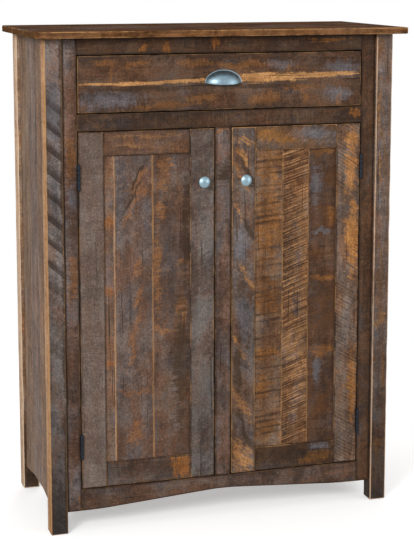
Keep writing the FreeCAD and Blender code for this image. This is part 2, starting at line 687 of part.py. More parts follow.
def door(side):
    edge = f"{side}_door_edge"
    left = side == "left"
    other_edge = f"{edge} + door_width - door_stile_width"
    names = ("hinge", "knob") if left else ("knob", "hinge")
    door_stile(f"{side}_door_{names[0]}_stile", edge, True, not left)
    door_stile(f"{side}_door_{names[1]}_stile", other_edge, False, left)
    door_rail(f"{side}_door_top_rail", "door_top_rail_height", edge, True)
    door_rail(f"{side}_door_bottom_rail", "door_bottom_rail_height", edge, False)

    first = f"{side}_plank_first"
    second = f"{side}_plank_second"
    third = f"panel_width - {first} - {second}"
    panel_edge = f"{edge} + door_stile_width"
    planks = [(f"{first} + tenon", f"{panel_edge} - tenon"),
              (second, f"{panel_edge} + {first}"),
              (f"{third} + tenon", f"{panel_edge} + {first} + {second}")]
    for count, (width, x) in enumerate(planks, start=1):
        board(f"{side}_door_plank_{count}",
              (width, "plank_thickness", "panel_height + 2 * tenon"),
              (x, "frame_front + plank_recess",
               "door_bottom + door_bottom_rail_height - tenon"))

    middle = f"{edge} + door_stile_width / 2"
    if left:
        middle = f"{edge} + door_width - door_stile_width / 2"
    block(f"{side}_door_strike_plate", ("strike_width", "strike_thickness", "strike_height"),
          (f"{middle} - strike_width / 2", "frame_back", "door_top - strike_drop - strike_height"))


def knobs():
    """A turned mushroom knob with its stud, drawn as half a section and turned."""
    for side, x in (("left", "0 - knob_x"), ("right", "knob_x")):
        body = new_body(f"{side}_door_knob")
        sketch = new_sketch(body, "XZ_Plane")
        stud = "knob_stud_length"
        draw(sketch,
             [("0", "0"), ("knob_stud_radius", "0"), ("knob_stud_radius", stud),
              ("knob_foot_radius", stud), ("knob_foot_radius", f"{stud} + knob_foot_height"),
              ("knob_neck_radius", f"{stud} + knob_neck_height"),
              ("knob_radius", f"{stud} + knob_rim_height"),
              ("knob_radius", f"{stud} + knob_rim_height + knob_rim"),
              ("0", f"{stud} + knob_reach")],
             {5: ("knob_flare_radius", 1), 7: ("knob_dome_radius", 1)})
        turned = body.newObject("PartDesign::Revolution", body.Label + "_turned")
        turned.Profile = sketch
        turned.ReferenceAxis = (sketch, ["V_Axis"])
        turned.Angle = 360
        place(body, x, "frame_front + knob_stud_length", "knob_height", (1, 0, 0), 90)


# The hinges: a leaf on the frame, a leaf on the door and a pin through both.


def hinge_leaf(label, on_door):
    """A leaf with its knuckles. The pin axis lies one barrel radius inside the corner."""
    body = new_body(label)
    plate_x = "hinge_barrel_radius - door_gap / 2"
    if on_door:
        plate_x = "hinge_barrel_radius + door_gap / 2 - hinge_leaf_thickness"
    sketch = new_sketch(body, "XY_Plane")
    draw(sketch, rectangle(plate_x, "hinge_barrel_radius + hinge_standoff",
                           "hinge_leaf_thickness", "hinge_leaf_depth"))
    pad(body, sketch, "hinge_height")
    first_knuckle = "knuckle_pitch" if on_door else "0"
    sketch = new_sketch(body, "XY_Plane", first_knuckle)
    draw(sketch, rectangle(plate_x, "hinge_barrel_radius", "hinge_leaf_thickness",
                           "hinge_standoff"))
    web = pad(body, sketch, "knuckle_height")
    sketch = new_sketch(body, "XY_Plane", first_knuckle)
    draw_circle(sketch, "hinge_barrel_radius", "hinge_barrel_radius", "hinge_barrel_radius")
    knuckle = pad(body, sketch, "knuckle_height")
    doc.recompute()
    repeat_up(body, [web, knuckle], "2 * knuckle_pitch", 2 if on_door else 3)
    doc.recompute()
    sketch = new_sketch(body, "XY_Plane")
    draw_circle(sketch, "hinge_barrel_radius", "hinge_barrel_radius",
                "hinge_pin_radius + hinge_pin_fit")
    pocket(body, sketch, "hinge_height", back=True)
    return body


def hinges():
    """Two hinges on each door. A right leaf is a left one turned upside down."""
    frame_leaf = hinge_leaf("hinge_frame_leaf", False)
    door_leaf = hinge_leaf("hinge_door_leaf", True)
    pin = cylinder("hinge_pin", "hinge_pin_radius", "hinge_height + 2 * hinge_pin_tip")
    left_spots, right_spots, pin_spots = [], [], []
    for bottom in ("lower_hinge_bottom", "upper_hinge_bottom"):
        corner_y = "hinge_pin_y - hinge_barrel_radius"
        left_spots.append(("0 - hinge_pin_x - hinge_barrel_radius", corner_y, bottom))
        right_spots.append(("hinge_pin_x + hinge_barrel_radius", corner_y,
                            f"{bottom} + hinge_height", (0, 1, 0), 180))
        for pin_x in ("0 - hinge_pin_x", "hinge_pin_x"):
            pin_spots.append((pin_x, "hinge_pin_y", f"{bottom} - hinge_pin_tip"))
    group("hinge_frame_leaves", frame_leaf, left_spots + right_spots)
    group("left_door_hinge_leaves", door_leaf, left_spots)
    group("right_door_hinge_leaves", door_leaf, right_spots)
    group("hinge_pins", pin, pin_spots)


def catches():
    """A magnetic catch above each door, under the deck, with two steel pole plates."""
    case = block("catch_case", ("catch_width", "catch_depth", "catch_height"), ("0", "0", "0"))
    parts = [case]
    for count, z in enumerate(("catch_pole_thickness",
                               "catch_height - 2 * catch_pole_thickness")):
        parts.append(block(f"catch_pole_{count}",
                           ("catch_width - 2 * catch_pole_inset",
                            "catch_depth + catch_pole_reach - catch_pole_inset",
                            "catch_pole_thickness"),
                           ("catch_pole_inset", "0 - catch_pole_reach", z)))
    catch = fuse("catch", parts)
    spots = [(f"{x} - catch_width / 2", "catch_front", "door_head - catch_height")
             for x in ("0 - knob_x", "knob_x")]
    group("door_catches", catch, spots)


# The drawer and its slides.


def drawer_front():
    """The inset drawer front, drilled for the two screws of the cup pull."""
    body = new_body("drawer_front")
    sketch = new_sketch(body, "XY_Plane")
    draw(sketch, rectangle("0", "0", "drawer_front_width", "frame_thickness"))
    pad(body, sketch, "drawer_front_height")
    soften(body, "board_round")
    drill_for_pull(body, "drawer_front_width / 2", "drawer_front_bottom", "frame_thickness")
    place(body, "0 - drawer_front_width / 2", "frame_front", "drawer_front_bottom")


def drill_for_pull(body, middle, bottom, thickness):
    """The two screw holes of the cup pull, through a board."""
    for offset in ("- pull_screw_spacing / 2", "+ pull_screw_spacing / 2"):
        sketch = new_sketch(body, "XZ_Plane")
        draw_circle(sketch, f"{middle} {offset}", f"pull_screw_height - {bottom}",
                    "pull_screw_radius + pull_screw_hole_play")
        pocket(body, sketch, thickness)


def grooved_board(label, size, corner, groove):
    """A board of the drawer box with the groove that holds the bottom."""
    body = new_body(label)
    sketch = new_sketch(body, "XY_Plane")
    draw(sketch, rectangle("0", "0", size[0], size[1]))
    pad(body, sketch, size[2])
    soften(body, "board_round")
    sketch = new_sketch(body, "XY_Plane", "box_bottom_lift - groove_play")
    draw(sketch, rectangle(*groove))
    pocket(body, sketch, "box_groove_height", back=True)
    place(body, *corner)
    return body


def drawer_box():
    thick = "box_board_thickness"
    side_size = (thick, "slide_length", "box_height")
    groove_size = ("box_groove_depth", "slide_length")
    grooved_board("drawer_side_left", side_size, ("0 - half_box", "frame_back", "box_bottom_edge"),
                  (f"{thick} - box_groove_depth", "0", *groove_size))
    grooved_board("drawer_side_right", side_size,
                  (f"half_box - {thick}", "frame_back", "box_bottom_edge"),
                  ("0", "0", *groove_size))
    box_front = grooved_board("drawer_box_front", ("box_inner_width", thick, "box_height"),
                              ("0 - box_inner_width / 2", "frame_back", "box_bottom_edge"),
                              ("0", f"{thick} - box_groove_depth", "box_inner_width",
                               "box_groove_depth"))
    drill_for_pull(box_front, "box_inner_width / 2", "box_bottom_edge", thick)
    bottom_top = "box_bottom_lift + box_bottom_thickness"
    board("drawer_back", ("box_inner_width", thick, f"box_height - {bottom_top}"),
          ("0 - box_inner_width / 2", f"frame_back + slide_length - {thick}",
           f"box_bottom_edge + {bottom_top}"))
    seat = "(box_groove_depth - groove_play)"
    block("drawer_bottom",
          (f"box_inner_width + 2 * {seat}", f"slide_length - {thick} + {seat}",
           "box_bottom_thickness"),
          (f"0 - box_inner_width / 2 - {seat}", f"frame_back + {thick} - {seat}",
           "box_bottom_edge + box_bottom_lift"))


def slides():
    """Ball-bearing slides: three channels, each inside the next, on both sides of the box."""
    full = "slide_height"
    sheet = "slide_sheet"
    outer = [("0", "0"), ("outer_flange", "0"), ("outer_flange", sheet), (sheet, sheet),
             (sheet, f"{full} - {sheet}"), ("outer_flange", f"{full} - {sheet}"),
             ("outer_flange", full), ("0", full)]
    low = "middle_inset"
    high = f"{full} - middle_inset"
    web = "middle_web"
    middle = [(web, low), ("outer_flange", low), ("outer_flange", f"{low} + {sheet}"),
              (f"{web} + {sheet}", f"{low} + {sheet}"), (f"{web} + {sheet}", f"{high} - {sheet}"),
              ("outer_flange", f"{high} - {sheet}"), ("outer_flange", high), (web, high)]
    low = "inner_inset"
    high = f"{full} - inner_inset"
    wall = "slide_width - slide_sheet"
    inner = [("inner_start", low), ("slide_width", low), ("slide_width", high),
             ("inner_start", high), ("inner_start", f"{high} - {sheet}"),
             (wall, f"{high} - {sheet}"), (wall, f"{low} + {sheet}"),
             ("inner_start", f"{low} + {sheet}")]
    for name, profile in (("outer", outer), ("middle", middle), ("inner", inner)):
        member = new_body(f"slide_{name}_member")
        sketch = new_sketch(member, "XZ_Plane")
        draw(sketch, profile)
        pad(member, sketch, "slide_length", back=True)
        group(f"slide_{name}_members", member,
              [("0 - half_opening", "frame_back", "slide_bottom"),
               ("half_opening", "frame_back + slide_length", "slide_bottom", (0, 0, 1), 180)])


def ellipsoid(label, half_width, reach, height):
    shape = doc.addObject("Part::Ellipsoid", label)
    bound(shape, "Radius1", height)
    bound(shape, "Radius2", half_width)
    bound(shape, "Radius3", reach)
    shape.Angle1 = -90
    shape.Angle2 = 90
    shape.Angle3 = 360
    return shape


def cup_pull():
    """Half of a hollow egg with a thin rim, open below, with two bosses for its screws."""
    cup = ellipsoid("cup_outside", "cup_half_width", "pull_reach", "cup_height")
    hollow = ellipsoid("cup_inside", "cup_half_width - pull_wall", "pull_reach - pull_wall",
                       "cup_height - pull_wall")
    rim = ellipsoid("cup_rim", "pull_width / 2", "pull_reach", "pull_height")
    slab = block("cup_rim_slab", ("pull_width", "pull_rim_thickness", "pull_height"),
                 ("0 - pull_width / 2", "0 - pull_rim_thickness", "0"))
    rim_plate = boolean("Part::Common", "cup_rim_plate", rim, slab)
    shell = boolean("Part::Cut", "cup_shell", fuse("cup_solid", [cup, rim_plate]), hollow)

    wedge = new_body("cup_quarter")
    sketch = new_sketch(wedge, "YZ_Plane")
    draw(sketch, [("pull_reach", "pull_lip_drop"), ("pull_reach", "pull_lip_drop + pull_height"),
                  ("0", "pull_lip_drop + pull_height"), ("0", "0")])
    pad(wedge, sketch, "pull_width").Midplane = True
    place(wedge, "0", "0 - pull_reach", "0 - pull_lip_drop")
    quarter = boolean("Part::Common", "cup_open_shell", shell, wedge)

    bosses, holes = [], []
    for count, x in enumerate(("0 - pull_screw_spacing / 2", "pull_screw_spacing / 2")):
        boss = cylinder(f"pull_boss_{count}", "pull_boss_radius", "pull_reach")
        place(boss, x, "0", "pull_screw_rise", (1, 0, 0), 90)
        bosses.append(boss)
        hole = cylinder(f"pull_hole_{count}", "pull_screw_radius + pull_screw_fit",
                        "pull_screw_bite + pull_screw_fit")
        place(hole, x, "0", "pull_screw_rise", (1, 0, 0), 90)
        holes.append(hole)
    inner_cup = ellipsoid("cup_core", "cup_half_width - pull_wall / 2",
                          "pull_reach - pull_wall / 2", "cup_height - pull_wall / 2")
    seated = boolean("Part::Common", "pull_bosses", fuse("pull_boss_pair", bosses), inner_cup)
    pull = boolean("Part::Cut", "cup_pull", fuse("cup_with_bosses", [quarter, seated]),
                   fuse("pull_holes", holes))
    pull.Label = "cup_pull"
    place(pull, "0", "frame_front", "pull_mouth")


def pull_screws():
    """Two screws from inside the drawer into the bosses of the cup pull."""
    shank = cylinder("pull_screw_shank", "pull_screw_radius", "pull_screw_length")
    head = cylinder("pull_screw_head", "pull_screw_head_radius", "pull_screw_head_height")
    place(head, "0", "0", "0 - pull_screw_head_height")
    screw = fuse("pull_screw", [shank, head])
    group("pull_screws", screw,
          [(x, "frame_back + box_board_thickness", "pull_screw_height", (1, 0, 0), 90)
           for x in ("0 - pull_screw_spacing / 2", "pull_screw_spacing / 2")])


# The whole cupboard.

NODES = (
    ["post_front_left", "post_front_right", "post_back_left", "post_back_right"]
    + ["side_panel_left", "side_panel_right", "back_panel", "back_rail_top"]
    + ["top_board_front", "top_board_middle", "top_board_back"]
    + ["face_stile_left", "face_stile_right", "face_rail_top", "face_rail_middle"]
    + ["face_rail_bottom", "face_mullion"]
    + ["cabinet_floor", "floor_cleats", "drawer_deck", "drawer_rail_left", "drawer_rail_right"]
    + ["shelf_lower", "shelf_upper", "shelf_pins"]
    + [f"{side}_door_{piece}" for side in ("left", "right")
       for piece in ("hinge_stile", "knob_stile", "top_rail", "bottom_rail", "plank_1",
                     "plank_2", "plank_3", "knob", "hinge_leaves", "strike_plate")]
    + ["hinge_frame_leaves", "hinge_pins", "door_catches"]
    + ["drawer_front", "drawer_side_left", "drawer_side_right", "drawer_box_front"]
    + ["drawer_back", "drawer_bottom", "cup_pull", "pull_screws"]
    + ["slide_outer_members", "slide_middle_members", "slide_inner_members"]
)


def build():
    fill_sheets()
    for side in ("left", "right"):
        for row in ("front", "back"):
            post(side, row)
        side_panel(side)
        door(side)
    top_boards()
    back()
    face_frame()
    arched_rail()
    inside_boards()
    shelf_pins()
    knobs()
    hinges()
    catches()
    drawer_front()
    drawer_box()
    slides()
    cup_pull()
    pull_screws()
    doc.recompute()


def check():
    """Stop if a feature failed, a cut removed nothing or a piece is not sound."""
    for thing in doc.Objects:
        if "Invalid" in thing.State or "Error" in thing.State:
            raise RuntimeError(f"{thing.Label} failed: {thing.State}")
        if thing.TypeId == "PartDesign::Pocket":
            removed = thing.BaseFeature.Shape.Volume - thing.Shape.Volume
            if removed <= 0:
                raise RuntimeError(f"{thing.Label} cuts nothing")
    for node in NODES:
        shape = doc.getObjectsByLabel(node)[0].Shape
        if shape.isNull() or not shape.isValid():
            raise RuntimeError(f"{node} is not a sound shape")


def write():
    os.makedirs("parts", exist_ok=True)
    for node in NODES:
        piece = doc.getObjectsByLabel(node)[0]
        piece.Shape.exportStep(os.path.join("parts", node + ".step"))
        print(node, len(piece.Shape.Solids), round(piece.Shape.Volume / 1000, 1), "cm3")


build()
check()
write()
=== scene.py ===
# %% [markdown]
# # A rustic cupboard of reclaimed boards
# The cupboard is one drawer over two doors, made of old barn boards that were sawn long ago,
# weathered grey and then sealed with a matt finish. The CAD model gives every board its place.
# Here each visible board is made again as a worn board, and each one gets its own finish.

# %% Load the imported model
import json
import math
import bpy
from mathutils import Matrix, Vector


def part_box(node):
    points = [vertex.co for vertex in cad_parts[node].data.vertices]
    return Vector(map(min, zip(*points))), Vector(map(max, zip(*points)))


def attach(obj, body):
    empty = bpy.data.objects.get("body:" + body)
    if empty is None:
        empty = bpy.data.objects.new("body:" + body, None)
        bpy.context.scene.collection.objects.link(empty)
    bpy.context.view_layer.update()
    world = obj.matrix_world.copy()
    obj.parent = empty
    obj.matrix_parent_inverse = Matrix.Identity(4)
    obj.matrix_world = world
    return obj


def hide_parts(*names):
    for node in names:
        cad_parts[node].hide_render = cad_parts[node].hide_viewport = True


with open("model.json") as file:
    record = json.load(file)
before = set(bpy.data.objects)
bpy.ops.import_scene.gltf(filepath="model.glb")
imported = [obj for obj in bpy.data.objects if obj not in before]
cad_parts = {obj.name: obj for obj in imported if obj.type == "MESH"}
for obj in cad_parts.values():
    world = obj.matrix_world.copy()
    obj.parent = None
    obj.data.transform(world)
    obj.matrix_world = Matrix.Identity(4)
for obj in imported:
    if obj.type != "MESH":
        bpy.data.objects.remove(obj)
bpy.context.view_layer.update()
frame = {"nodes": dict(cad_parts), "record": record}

from types import SimpleNamespace

import bmesh
import bpy
from mathutils import Matrix, Vector, noise
from mathutils.bvhtree import BVHTree

MM = 0.001
X, Y, Z = 0, 1, 2

# %% [markdown]
# A board rides on the body that its CAD node belongs to, and the record's slots choose the finish
# of the CAD solids that stay. Reading both from the imported record keeps the two models together.

# %% Bodies, slots and colours
BODY_OF = {node: body
           for body, nodes in frame["record"]["behaviour"]["bodies"].items()
           for node in nodes}
SLOT_OF = {part["node"]: part["material_slot"] for part in frame["record"]["subparts"]}


def linear(hex_colour):
    """An sRGB hex colour as Blender's linear colour."""
    values = [int(hex_colour[at:at + 2], 16) / 255 for at in (1, 3, 5)]
    bent = [v / 12.92 if v <= 0.04045 else ((v + 0.055) / 1.055) ** 2.4 for v in values]
    return (*bent, 1)


def add(tree, kind, inputs=None, stops=None, **settings):
    """Adds one shader node and gives its first output. Inputs are values or other outputs."""
    node = tree.nodes.new("ShaderNode" + kind)
    for name, value in settings.items():
        setattr(node, name, value)
    for at, (place, colour) in enumerate(stops or ()):
        ends = node.color_ramp.elements
        stop = ends[at] if at < 2 else ends.new(place)
        stop.position = place
        stop.color = linear(colour)
    for key, value in (inputs or {}).items():
        if isinstance(key, int):
            socket = node.inputs[key]
        else:
            socket = next(s for s in node.inputs if s.enabled and s.name == key)
        if isinstance(value, bpy.types.NodeSocket):
            tree.links.new(value, socket)
        elif isinstance(value, str):
            socket.default_value = linear(value)
        else:
            socket.default_value = value
    return next((s for s in node.outputs if s.enabled), None)


def new_material(name):
    """A material whose shader nodes are still to be added."""
    material = bpy.data.materials.new(name)
    material.use_nodes = True
    material.node_tree.nodes.clear()
    return material


print("slots", sorted(set(SLOT_OF.values())))

# %% [markdown]
# The photograph was taken from the left, a little above the top, through a long lens. Its
# upright edges are parallel, which a level camera with a shifted lens gives. So large a shift
# would push the cupboard out of the other views, so most of it becomes a tilt of the camera.

# %% The camera of the photograph
CAMERA_PLACE = Vector((-1193.5, -3818.8, 1430.1)) * MM
YAW = math.radians(17.55)
PITCH = math.radians(-8.6)
FOCAL_PIXELS = 1524
FRAME_HEIGHT = 556
PRINCIPAL_ROW = 194.6
SENSOR_HEIGHT = 36

look = Vector((math.sin(YAW) * math.cos(PITCH), math.cos(YAW) * math.cos(PITCH),
               math.sin(PITCH)))
camera_data = bpy.data.cameras.new("photo_camera")
camera_data.sensor_fit = "VERTICAL"
camera_data.sensor_height = SENSOR_HEIGHT
camera_data.lens = FOCAL_PIXELS / FRAME_HEIGHT * SENSOR_HEIGHT
camera_data.shift_y = (PRINCIPAL_ROW - FRAME_HEIGHT / 2) / FRAME_HEIGHT
camera_data.clip_end = 60
camera = bpy.data.objects.new("photo_camera", camera_data)
camera.matrix_world = (Matrix.Translation(CAMERA_PLACE)
                       @ look.to_track_quat("-Z", "Y").to_matrix().to_4x4())
bpy.context.scene.collection.objects.link(camera)
bpy.context.scene.camera = camera
print("lens", round(camera_data.lens, 1), "mm, shift", round(camera_data.shift_y, 3))

# %% [markdown]
# Reclaimed barn board is softwood that hung outside for decades. Rain and light turn its skin
# grey-brown, the saw marks of the old mill stay in it, and where the skin was knocked or planed
# off, the wood under it is orange. The finish is painted in layers, in the order of the real
# board's history: weather first, then saw marks, patches, cracks, grime and worn edges.

# %% Tones of the old wood
GREY_BROWN = "#6a584d"
DARK_BROWN = "#42301f"
UMBER = "#2b1d14"
LIGHT_GREY = "#85766b"
BLUE_DARK = "#4b4748"
BLUE_LIGHT = "#6f6c71"
WARM_STAIN = "#7a4a26"
SLATE = "#5d5f69"
RAW_ORANGE = "#a2662c"
RAW_DARK = "#7a481c"
EDGE_TAN = "#b98b5c"
END_GRAIN = "#7d5636"
print("grey-brown in linear light", [round(value, 3) for value in linear(GREY_BROWN)[:3]])

# %% [markdown]
# A pattern is easier to picture by the size of its blots than by a scale. Two short recipes do
# most of the painting: one makes cloudy noise of a given size, the other lays a tone over the
# board wherever a pattern rises from one value to another. Nearly all values of a noise lie in
# its usual range, so that range is what gets stretched where a pattern has to use its full span.


# %% Two recipes for painting
USUAL = (0.3, 0.7)


def span(start, full, low=0.0, high=1.0):
    """Settings that stretch what lies between start and full until it runs from low to high."""
    return {"From Min": start, "From Max": full, "To Min": low, "To Max": high}


def clouds(board, place, size, detail=5.0, roughness=0.6, move=1.0):
    """Noise whose blots measure size, in mm along, across and through the board."""
    placed = add(board.tree, "VectorMath", {0: place, 1: [1 / (length * MM) for length in size],
                                            2: board.shift * move}, operation="MULTIPLY_ADD")
    return add(board.tree, "TexNoise", {"Vector": placed, "Scale": 1.0, "Detail": detail,
                                        "Roughness": roughness})


def lay(board, tone, pattern, start, full, amount=1.0, within=None, blend="MIX"):
    """Lays a tone over the board's colour, more and more as a pattern goes from start to full."""
    share = add(board.tree, "MapRange", {"Value": pattern, **span(start, full, 0.0, amount)})
    if within is not None:
        share = add(board.tree, "Math", {0: share, 1: within}, operation="MULTIPLY")
    board.colour = add(board.tree, "Mix", {"Factor": share, "A": board.colour, "B": tone},
                       data_type="RGBA", blend_type=blend)
    return share


# %% [markdown]
# Every board is different, but the patterns on it always run in the board's own directions:
# along, across and through it. So its place is measured from its own middle, in that order.
# Grain never runs dead straight: a slow noise pushes the place sideways by about 10 mm.

# %% A board's own space
SWAY = 20 * MM


def board_space(name, low, high, axes, seed):
    """An empty material that knows the place on a board along, across and through it."""
    board = SimpleNamespace(material=new_material(name), centre=(low + high) / 2, axes=axes,
                            shift=Vector((seed * 3.17, seed * 1.31, seed * 2.23)), cut=None)
    board.tree = board.material.node_tree
    here = add(board.tree, "TexCoord").node.outputs["Object"]
    middle = add(board.tree, "VectorMath", {0: here, 1: board.centre}, operation="SUBTRACT")
    split = add(board.tree, "SeparateXYZ", {0: middle}).node.outputs
    board.own = add(board.tree, "CombineXYZ", {at: split[axes[at]] for at in (0, 1, 2)})
    board.sway = clouds(board, board.own, (450, 140, 140), 2.0).node.outputs["Color"]
    board.pushed = add(board.tree, "VectorMath", {0: board.sway, 1: (0, SWAY, SWAY),
                                                  2: board.own}, operation="MULTIPLY_ADD")
    return board


# %% [markdown]
# Weather works at every size at once: broad streaks along the grain, blotches, thin grain
# lines, and the fine lines that the mill's blade left across the board, about 4 mm apart.
# They are added into one number, and a colour ramp turns that number into the skin's tones.


# %% The weathered skin
def weathered_skin(board, tones, contrast, kerf, kerf_turn, streaks, rag):
    """The skin in its base, dark and light tone. kerf is how strong the blade's lines are."""
    base, dark, light = tones
    tree = board.tree
    board.turned = add(tree, "Mapping", {"Vector": board.own,
                                         "Rotation": (0, 0, math.radians(kerf_turn))})
    board.fine = clouds(board, board.pushed, (130, 7, 7), 6.0, 0.72)
    board.mottle = clouds(board, board.own, (60, 40, 40), 8.0, 0.74)
    board.ragged = clouds(board, board.own, rag, 7.0, 0.78, 1.9)
    kerfs = clouds(board, board.turned, (3.6, 45, 45), 3.0, 0.6, 2.7)
    seen = add(tree, "MapRange", {"Value": board.mottle, **span(0.42, 0.58, 0.1)})
    kerfs = add(tree, "Math", {0: kerfs, 1: 0.5}, operation="SUBTRACT")
    board.kerfs = add(tree, "Math", {0: kerfs, 1: seen}, operation="MULTIPLY")
    patterns = ((clouds(board, board.pushed, (420, 34, 34)), 1.0 * contrast),
                (board.mottle, 0.75 * contrast), (board.fine, 0.34 * streaks),
                (board.ragged, 0.75 * contrast))
    weather = 0.5 - 0.5 * sum(weight for pattern, weight in patterns)
    for pattern, weight in patterns + ((board.kerfs, 0.5 * kerf),):
        weather = add(tree, "Math", {0: pattern, 1: weight, 2: weather},
                      operation="MULTIPLY_ADD")
    board.weather = weather
    board.colour = add(tree, "ValToRGB", {"Fac": weather},
                       stops=((0.0, UMBER), (0.22, dark), (0.5, base), (0.82, light)))


# %% [markdown]
# Boards that lay in a stack for years keep bands across them, paler where air reached the skin
# and browner under the next board. The bands are about 70 mm long, with torn ends.


# %% Bands from the stack
def stacked_bands(board, pale, brown, amount, length=70):
    """Pale and brown bands across the board, about length mm long."""
    bands = clouds(board, board.turned, (length, 240, 240), 4.0, 0.55, 12.9)
    bands = add(board.tree, "Mix", {"Factor": 0.28, "A": bands, "B": board.ragged})
    lay(board, pale, bands, 0.52, 0.56, amount)
    lay(board, brown, bands, 0.475, 0.435, amount)


# %% [markdown]
# Stain and handling change the hue of the skin, not its light and dark, so these layers use the
# Color blend. Scratches are the other way round: thin light lines at a slant, and pale flecks.


# %% Stain, scratches and flecks
def handling(board, seed, warm, cool, scratch, pale):
    """Warm and cool stains, and scratches and flecks in a pale tone, each by its amount."""
    tree = board.tree
    stain = clouds(board, board.pushed, (100, 50, 50), 6.0, 0.66, 7.7)
    stain = add(tree, "Mix", {"Factor": 0.3, "A": stain, "B": board.ragged})
    lay(board, WARM_STAIN, stain, 0.48, 0.55, warm, blend="COLOR")
    lay(board, SLATE, stain, 0.46, 0.4, cool, blend="COLOR")
    slope = math.radians(30 + (seed * 53) % 90)
    swung = add(tree, "Mapping", {"Vector": board.own, "Rotation": (0, 0, slope)})
    scratches = clouds(board, swung, (60, 2.6, 25), 3.0, 0.6, 8.9)
    where = add(tree, "MapRange", {"Value": board.ragged, **span(0.45, 0.6)})
    lay(board, pale, scratches, 0.56, 0.66, scratch, where)
    flecks = clouds(board, board.own, (6, 4, 4), 3.0, 0.7, 6.7)
    lay(board, pale, flecks, 0.56, 0.7, scratch, where)


# %% [markdown]
# Bold saw marks are bands of uneven width, slanted as the blade met the board. They are part
# noise and part bent waves, they come and go over the board, and the wood between the dark
# grooves can be fresh and bright. A board may carry them over a part of its length only.


# %% Bold saw marks
WAVE_TURN = 2 * math.pi / 20


def saw_marks(board, pitch, slant, depth, tone=None, cover=0.8, bunch=(140, 65), waves=0.3,
              zone=None, profile="SIN", bend=24):
    """Bands pitch mm apart, turned by slant degrees, in bunches of the given size in mm."""
    tree = board.tree
    turned = add(tree, "Mapping", {"Vector": board.own,
                                   "Rotation": (0, 0, math.radians(slant))})
    bent = add(tree, "VectorMath", {0: board.sway, 1: (bend * MM, 0, 0), 2: turned},
               operation="MULTIPLY_ADD")
    lines = clouds(board, bent, (pitch, 180, 180), 4.0, 0.62, 3.3)
    swells = add(tree, "TexWave", {"Vector": bent, "Scale": WAVE_TURN / (pitch * MM),
                                   "Distortion": 0.9, "Detail": 2.0, "Detail Scale": 0.6},
                 wave_profile=profile)
    marks = add(tree, "Mix", {"Factor": waves, "A": lines, "B": swells})
    bunches = clouds(board, board.own, (bunch[0], bunch[1], bunch[1]), 4.0, 0.6, 4.1)
    rare = 0.6 - 0.3 * cover
    where = add(tree, "MapRange", {"Value": bunches, **span(rare, rare + 0.1)})
    if zone:
        along = add(tree, "SeparateXYZ", {0: board.own}).node.outputs[0]
        ends = [end * MM - board.centre[board.axes[0]] for end in zone]
        for start, full in (ends[:2], ends[:1:-1]):
            fade = add(tree, "MapRange", {"Value": along, **span(start, full)})
            where = add(tree, "Math", {0: where, 1: fade}, operation="MULTIPLY")
    if tone:
        broken = add(tree, "MapRange", {"Value": board.ragged, **span(0.36, 0.54)})
        broken = add(tree, "Math", {0: broken, 1: where}, operation="MULTIPLY")
        lay(board, tone, marks, 0.5, 0.68, depth, broken)
    groove = lay(board, UMBER, marks, 0.46, 0.3, 0.9 * depth, where)
    board.cut = add(tree, "Math", {0: groove, 1: -2.0}, operation="MULTIPLY")


# %% [markdown]
# A patch starts as a few ellipses put where the photograph shows it. Noise bends them and cuts
# teeth into their outlines along the blade's lines, or along the grain for a split. Inside, the
# patch is painted with its own dark and light tone by the same weather, so the grain runs on
# through it, and strokes of the blade leave grey skin between fresh wood.

# %% Patches with torn outlines
CLOUD_STEEP = 8.0
TEETH_SHARE = 0.65
SPOT_REACH = 1.15


def patches(board, spots, tones, amount=0.9, cloud=None, level=0.8, solid=0.5, split=False,
            soft=0.5, rough_edge=4.2):
    """Spots are (along, across, half length, half width) in mm, and maybe a turn in degrees.

    A cloud adds patches of its own where it rises over a level. The strokes of the blade leave
    at least the share solid of the fresh wood, and rough_edge is how deep the teeth are.
    """
    tree = board.tree
    size = (60, 30, 30) if not split else (90, 14, 14)
    astray = clouds(board, board.own, size, 3.0, 0.6, 5.3).node.outputs["Color"]
    reach = Vector((0.05, 0.03, 0)) if not split else Vector((0.03, 0.004, 0))
    astray = add(tree, "VectorMath", {0: astray, 1: reach, 2: board.own},
                 operation="MULTIPLY_ADD")
    astray = add(tree, "VectorMath", {0: astray, 1: reach / 2}, operation="SUBTRACT")
    field = cloud
    if cloud is not None:
        field = add(tree, "Math", {0: cloud, 1: CLOUD_STEEP, 2: -CLOUD_STEEP * level},
                    operation="MULTIPLY_ADD")
    for along, across, half_along, half_across, *turn in spots:
        spot = (along * MM - board.centre[board.axes[0]],
                across * MM - board.centre[board.axes[1]], 0)
        near = add(tree, "Mapping", {"Vector": astray, "Location": spot,
                                     "Rotation": (0, 0, math.radians(sum(turn))),
                                     "Scale": (half_along * MM, half_across * MM, 10)},
                   vector_type="TEXTURE")
        far = add(tree, "VectorMath", {0: near}, operation="LENGTH").node.outputs["Value"]
        near = add(tree, "Math", {0: SPOT_REACH, 1: far}, operation="SUBTRACT")
        field = near if field is None else add(tree, "Math", {0: field, 1: near},
                                               operation="MAXIMUM")
    if split:
        teeth = clouds(board, board.pushed, (60, 3.5, 3.5), 5.0, 0.7, 2.1)
    else:
        teeth = clouds(board, board.turned, (7, 40, 40), 5.0, 0.7, 2.1)
    torn = add(tree, "Mix", {"Factor": TEETH_SHARE, "A": board.ragged, "B": teeth})
    torn = add(tree, "Math", {0: torn, 1: rough_edge, 2: -0.52 * rough_edge},
               operation="MULTIPLY_ADD")
    field = add(tree, "Math", {0: field, 1: torn}, operation="ADD")
    strokes = clouds(board, board.turned, (4.5, 24, 24), 4.0, 0.7, 9.7)
    strokes = add(tree, "MapRange", {"Value": strokes, **span(0.4, 0.54, solid)})
    share = add(tree, "MapRange", {"Value": board.weather, **span(0.25, 0.72)})
    fresh = add(tree, "Mix", {"Factor": share, "A": tones[0], "B": tones[1]}, data_type="RGBA")
    lay(board, fresh, field, 0.0, soft, amount, strokes)


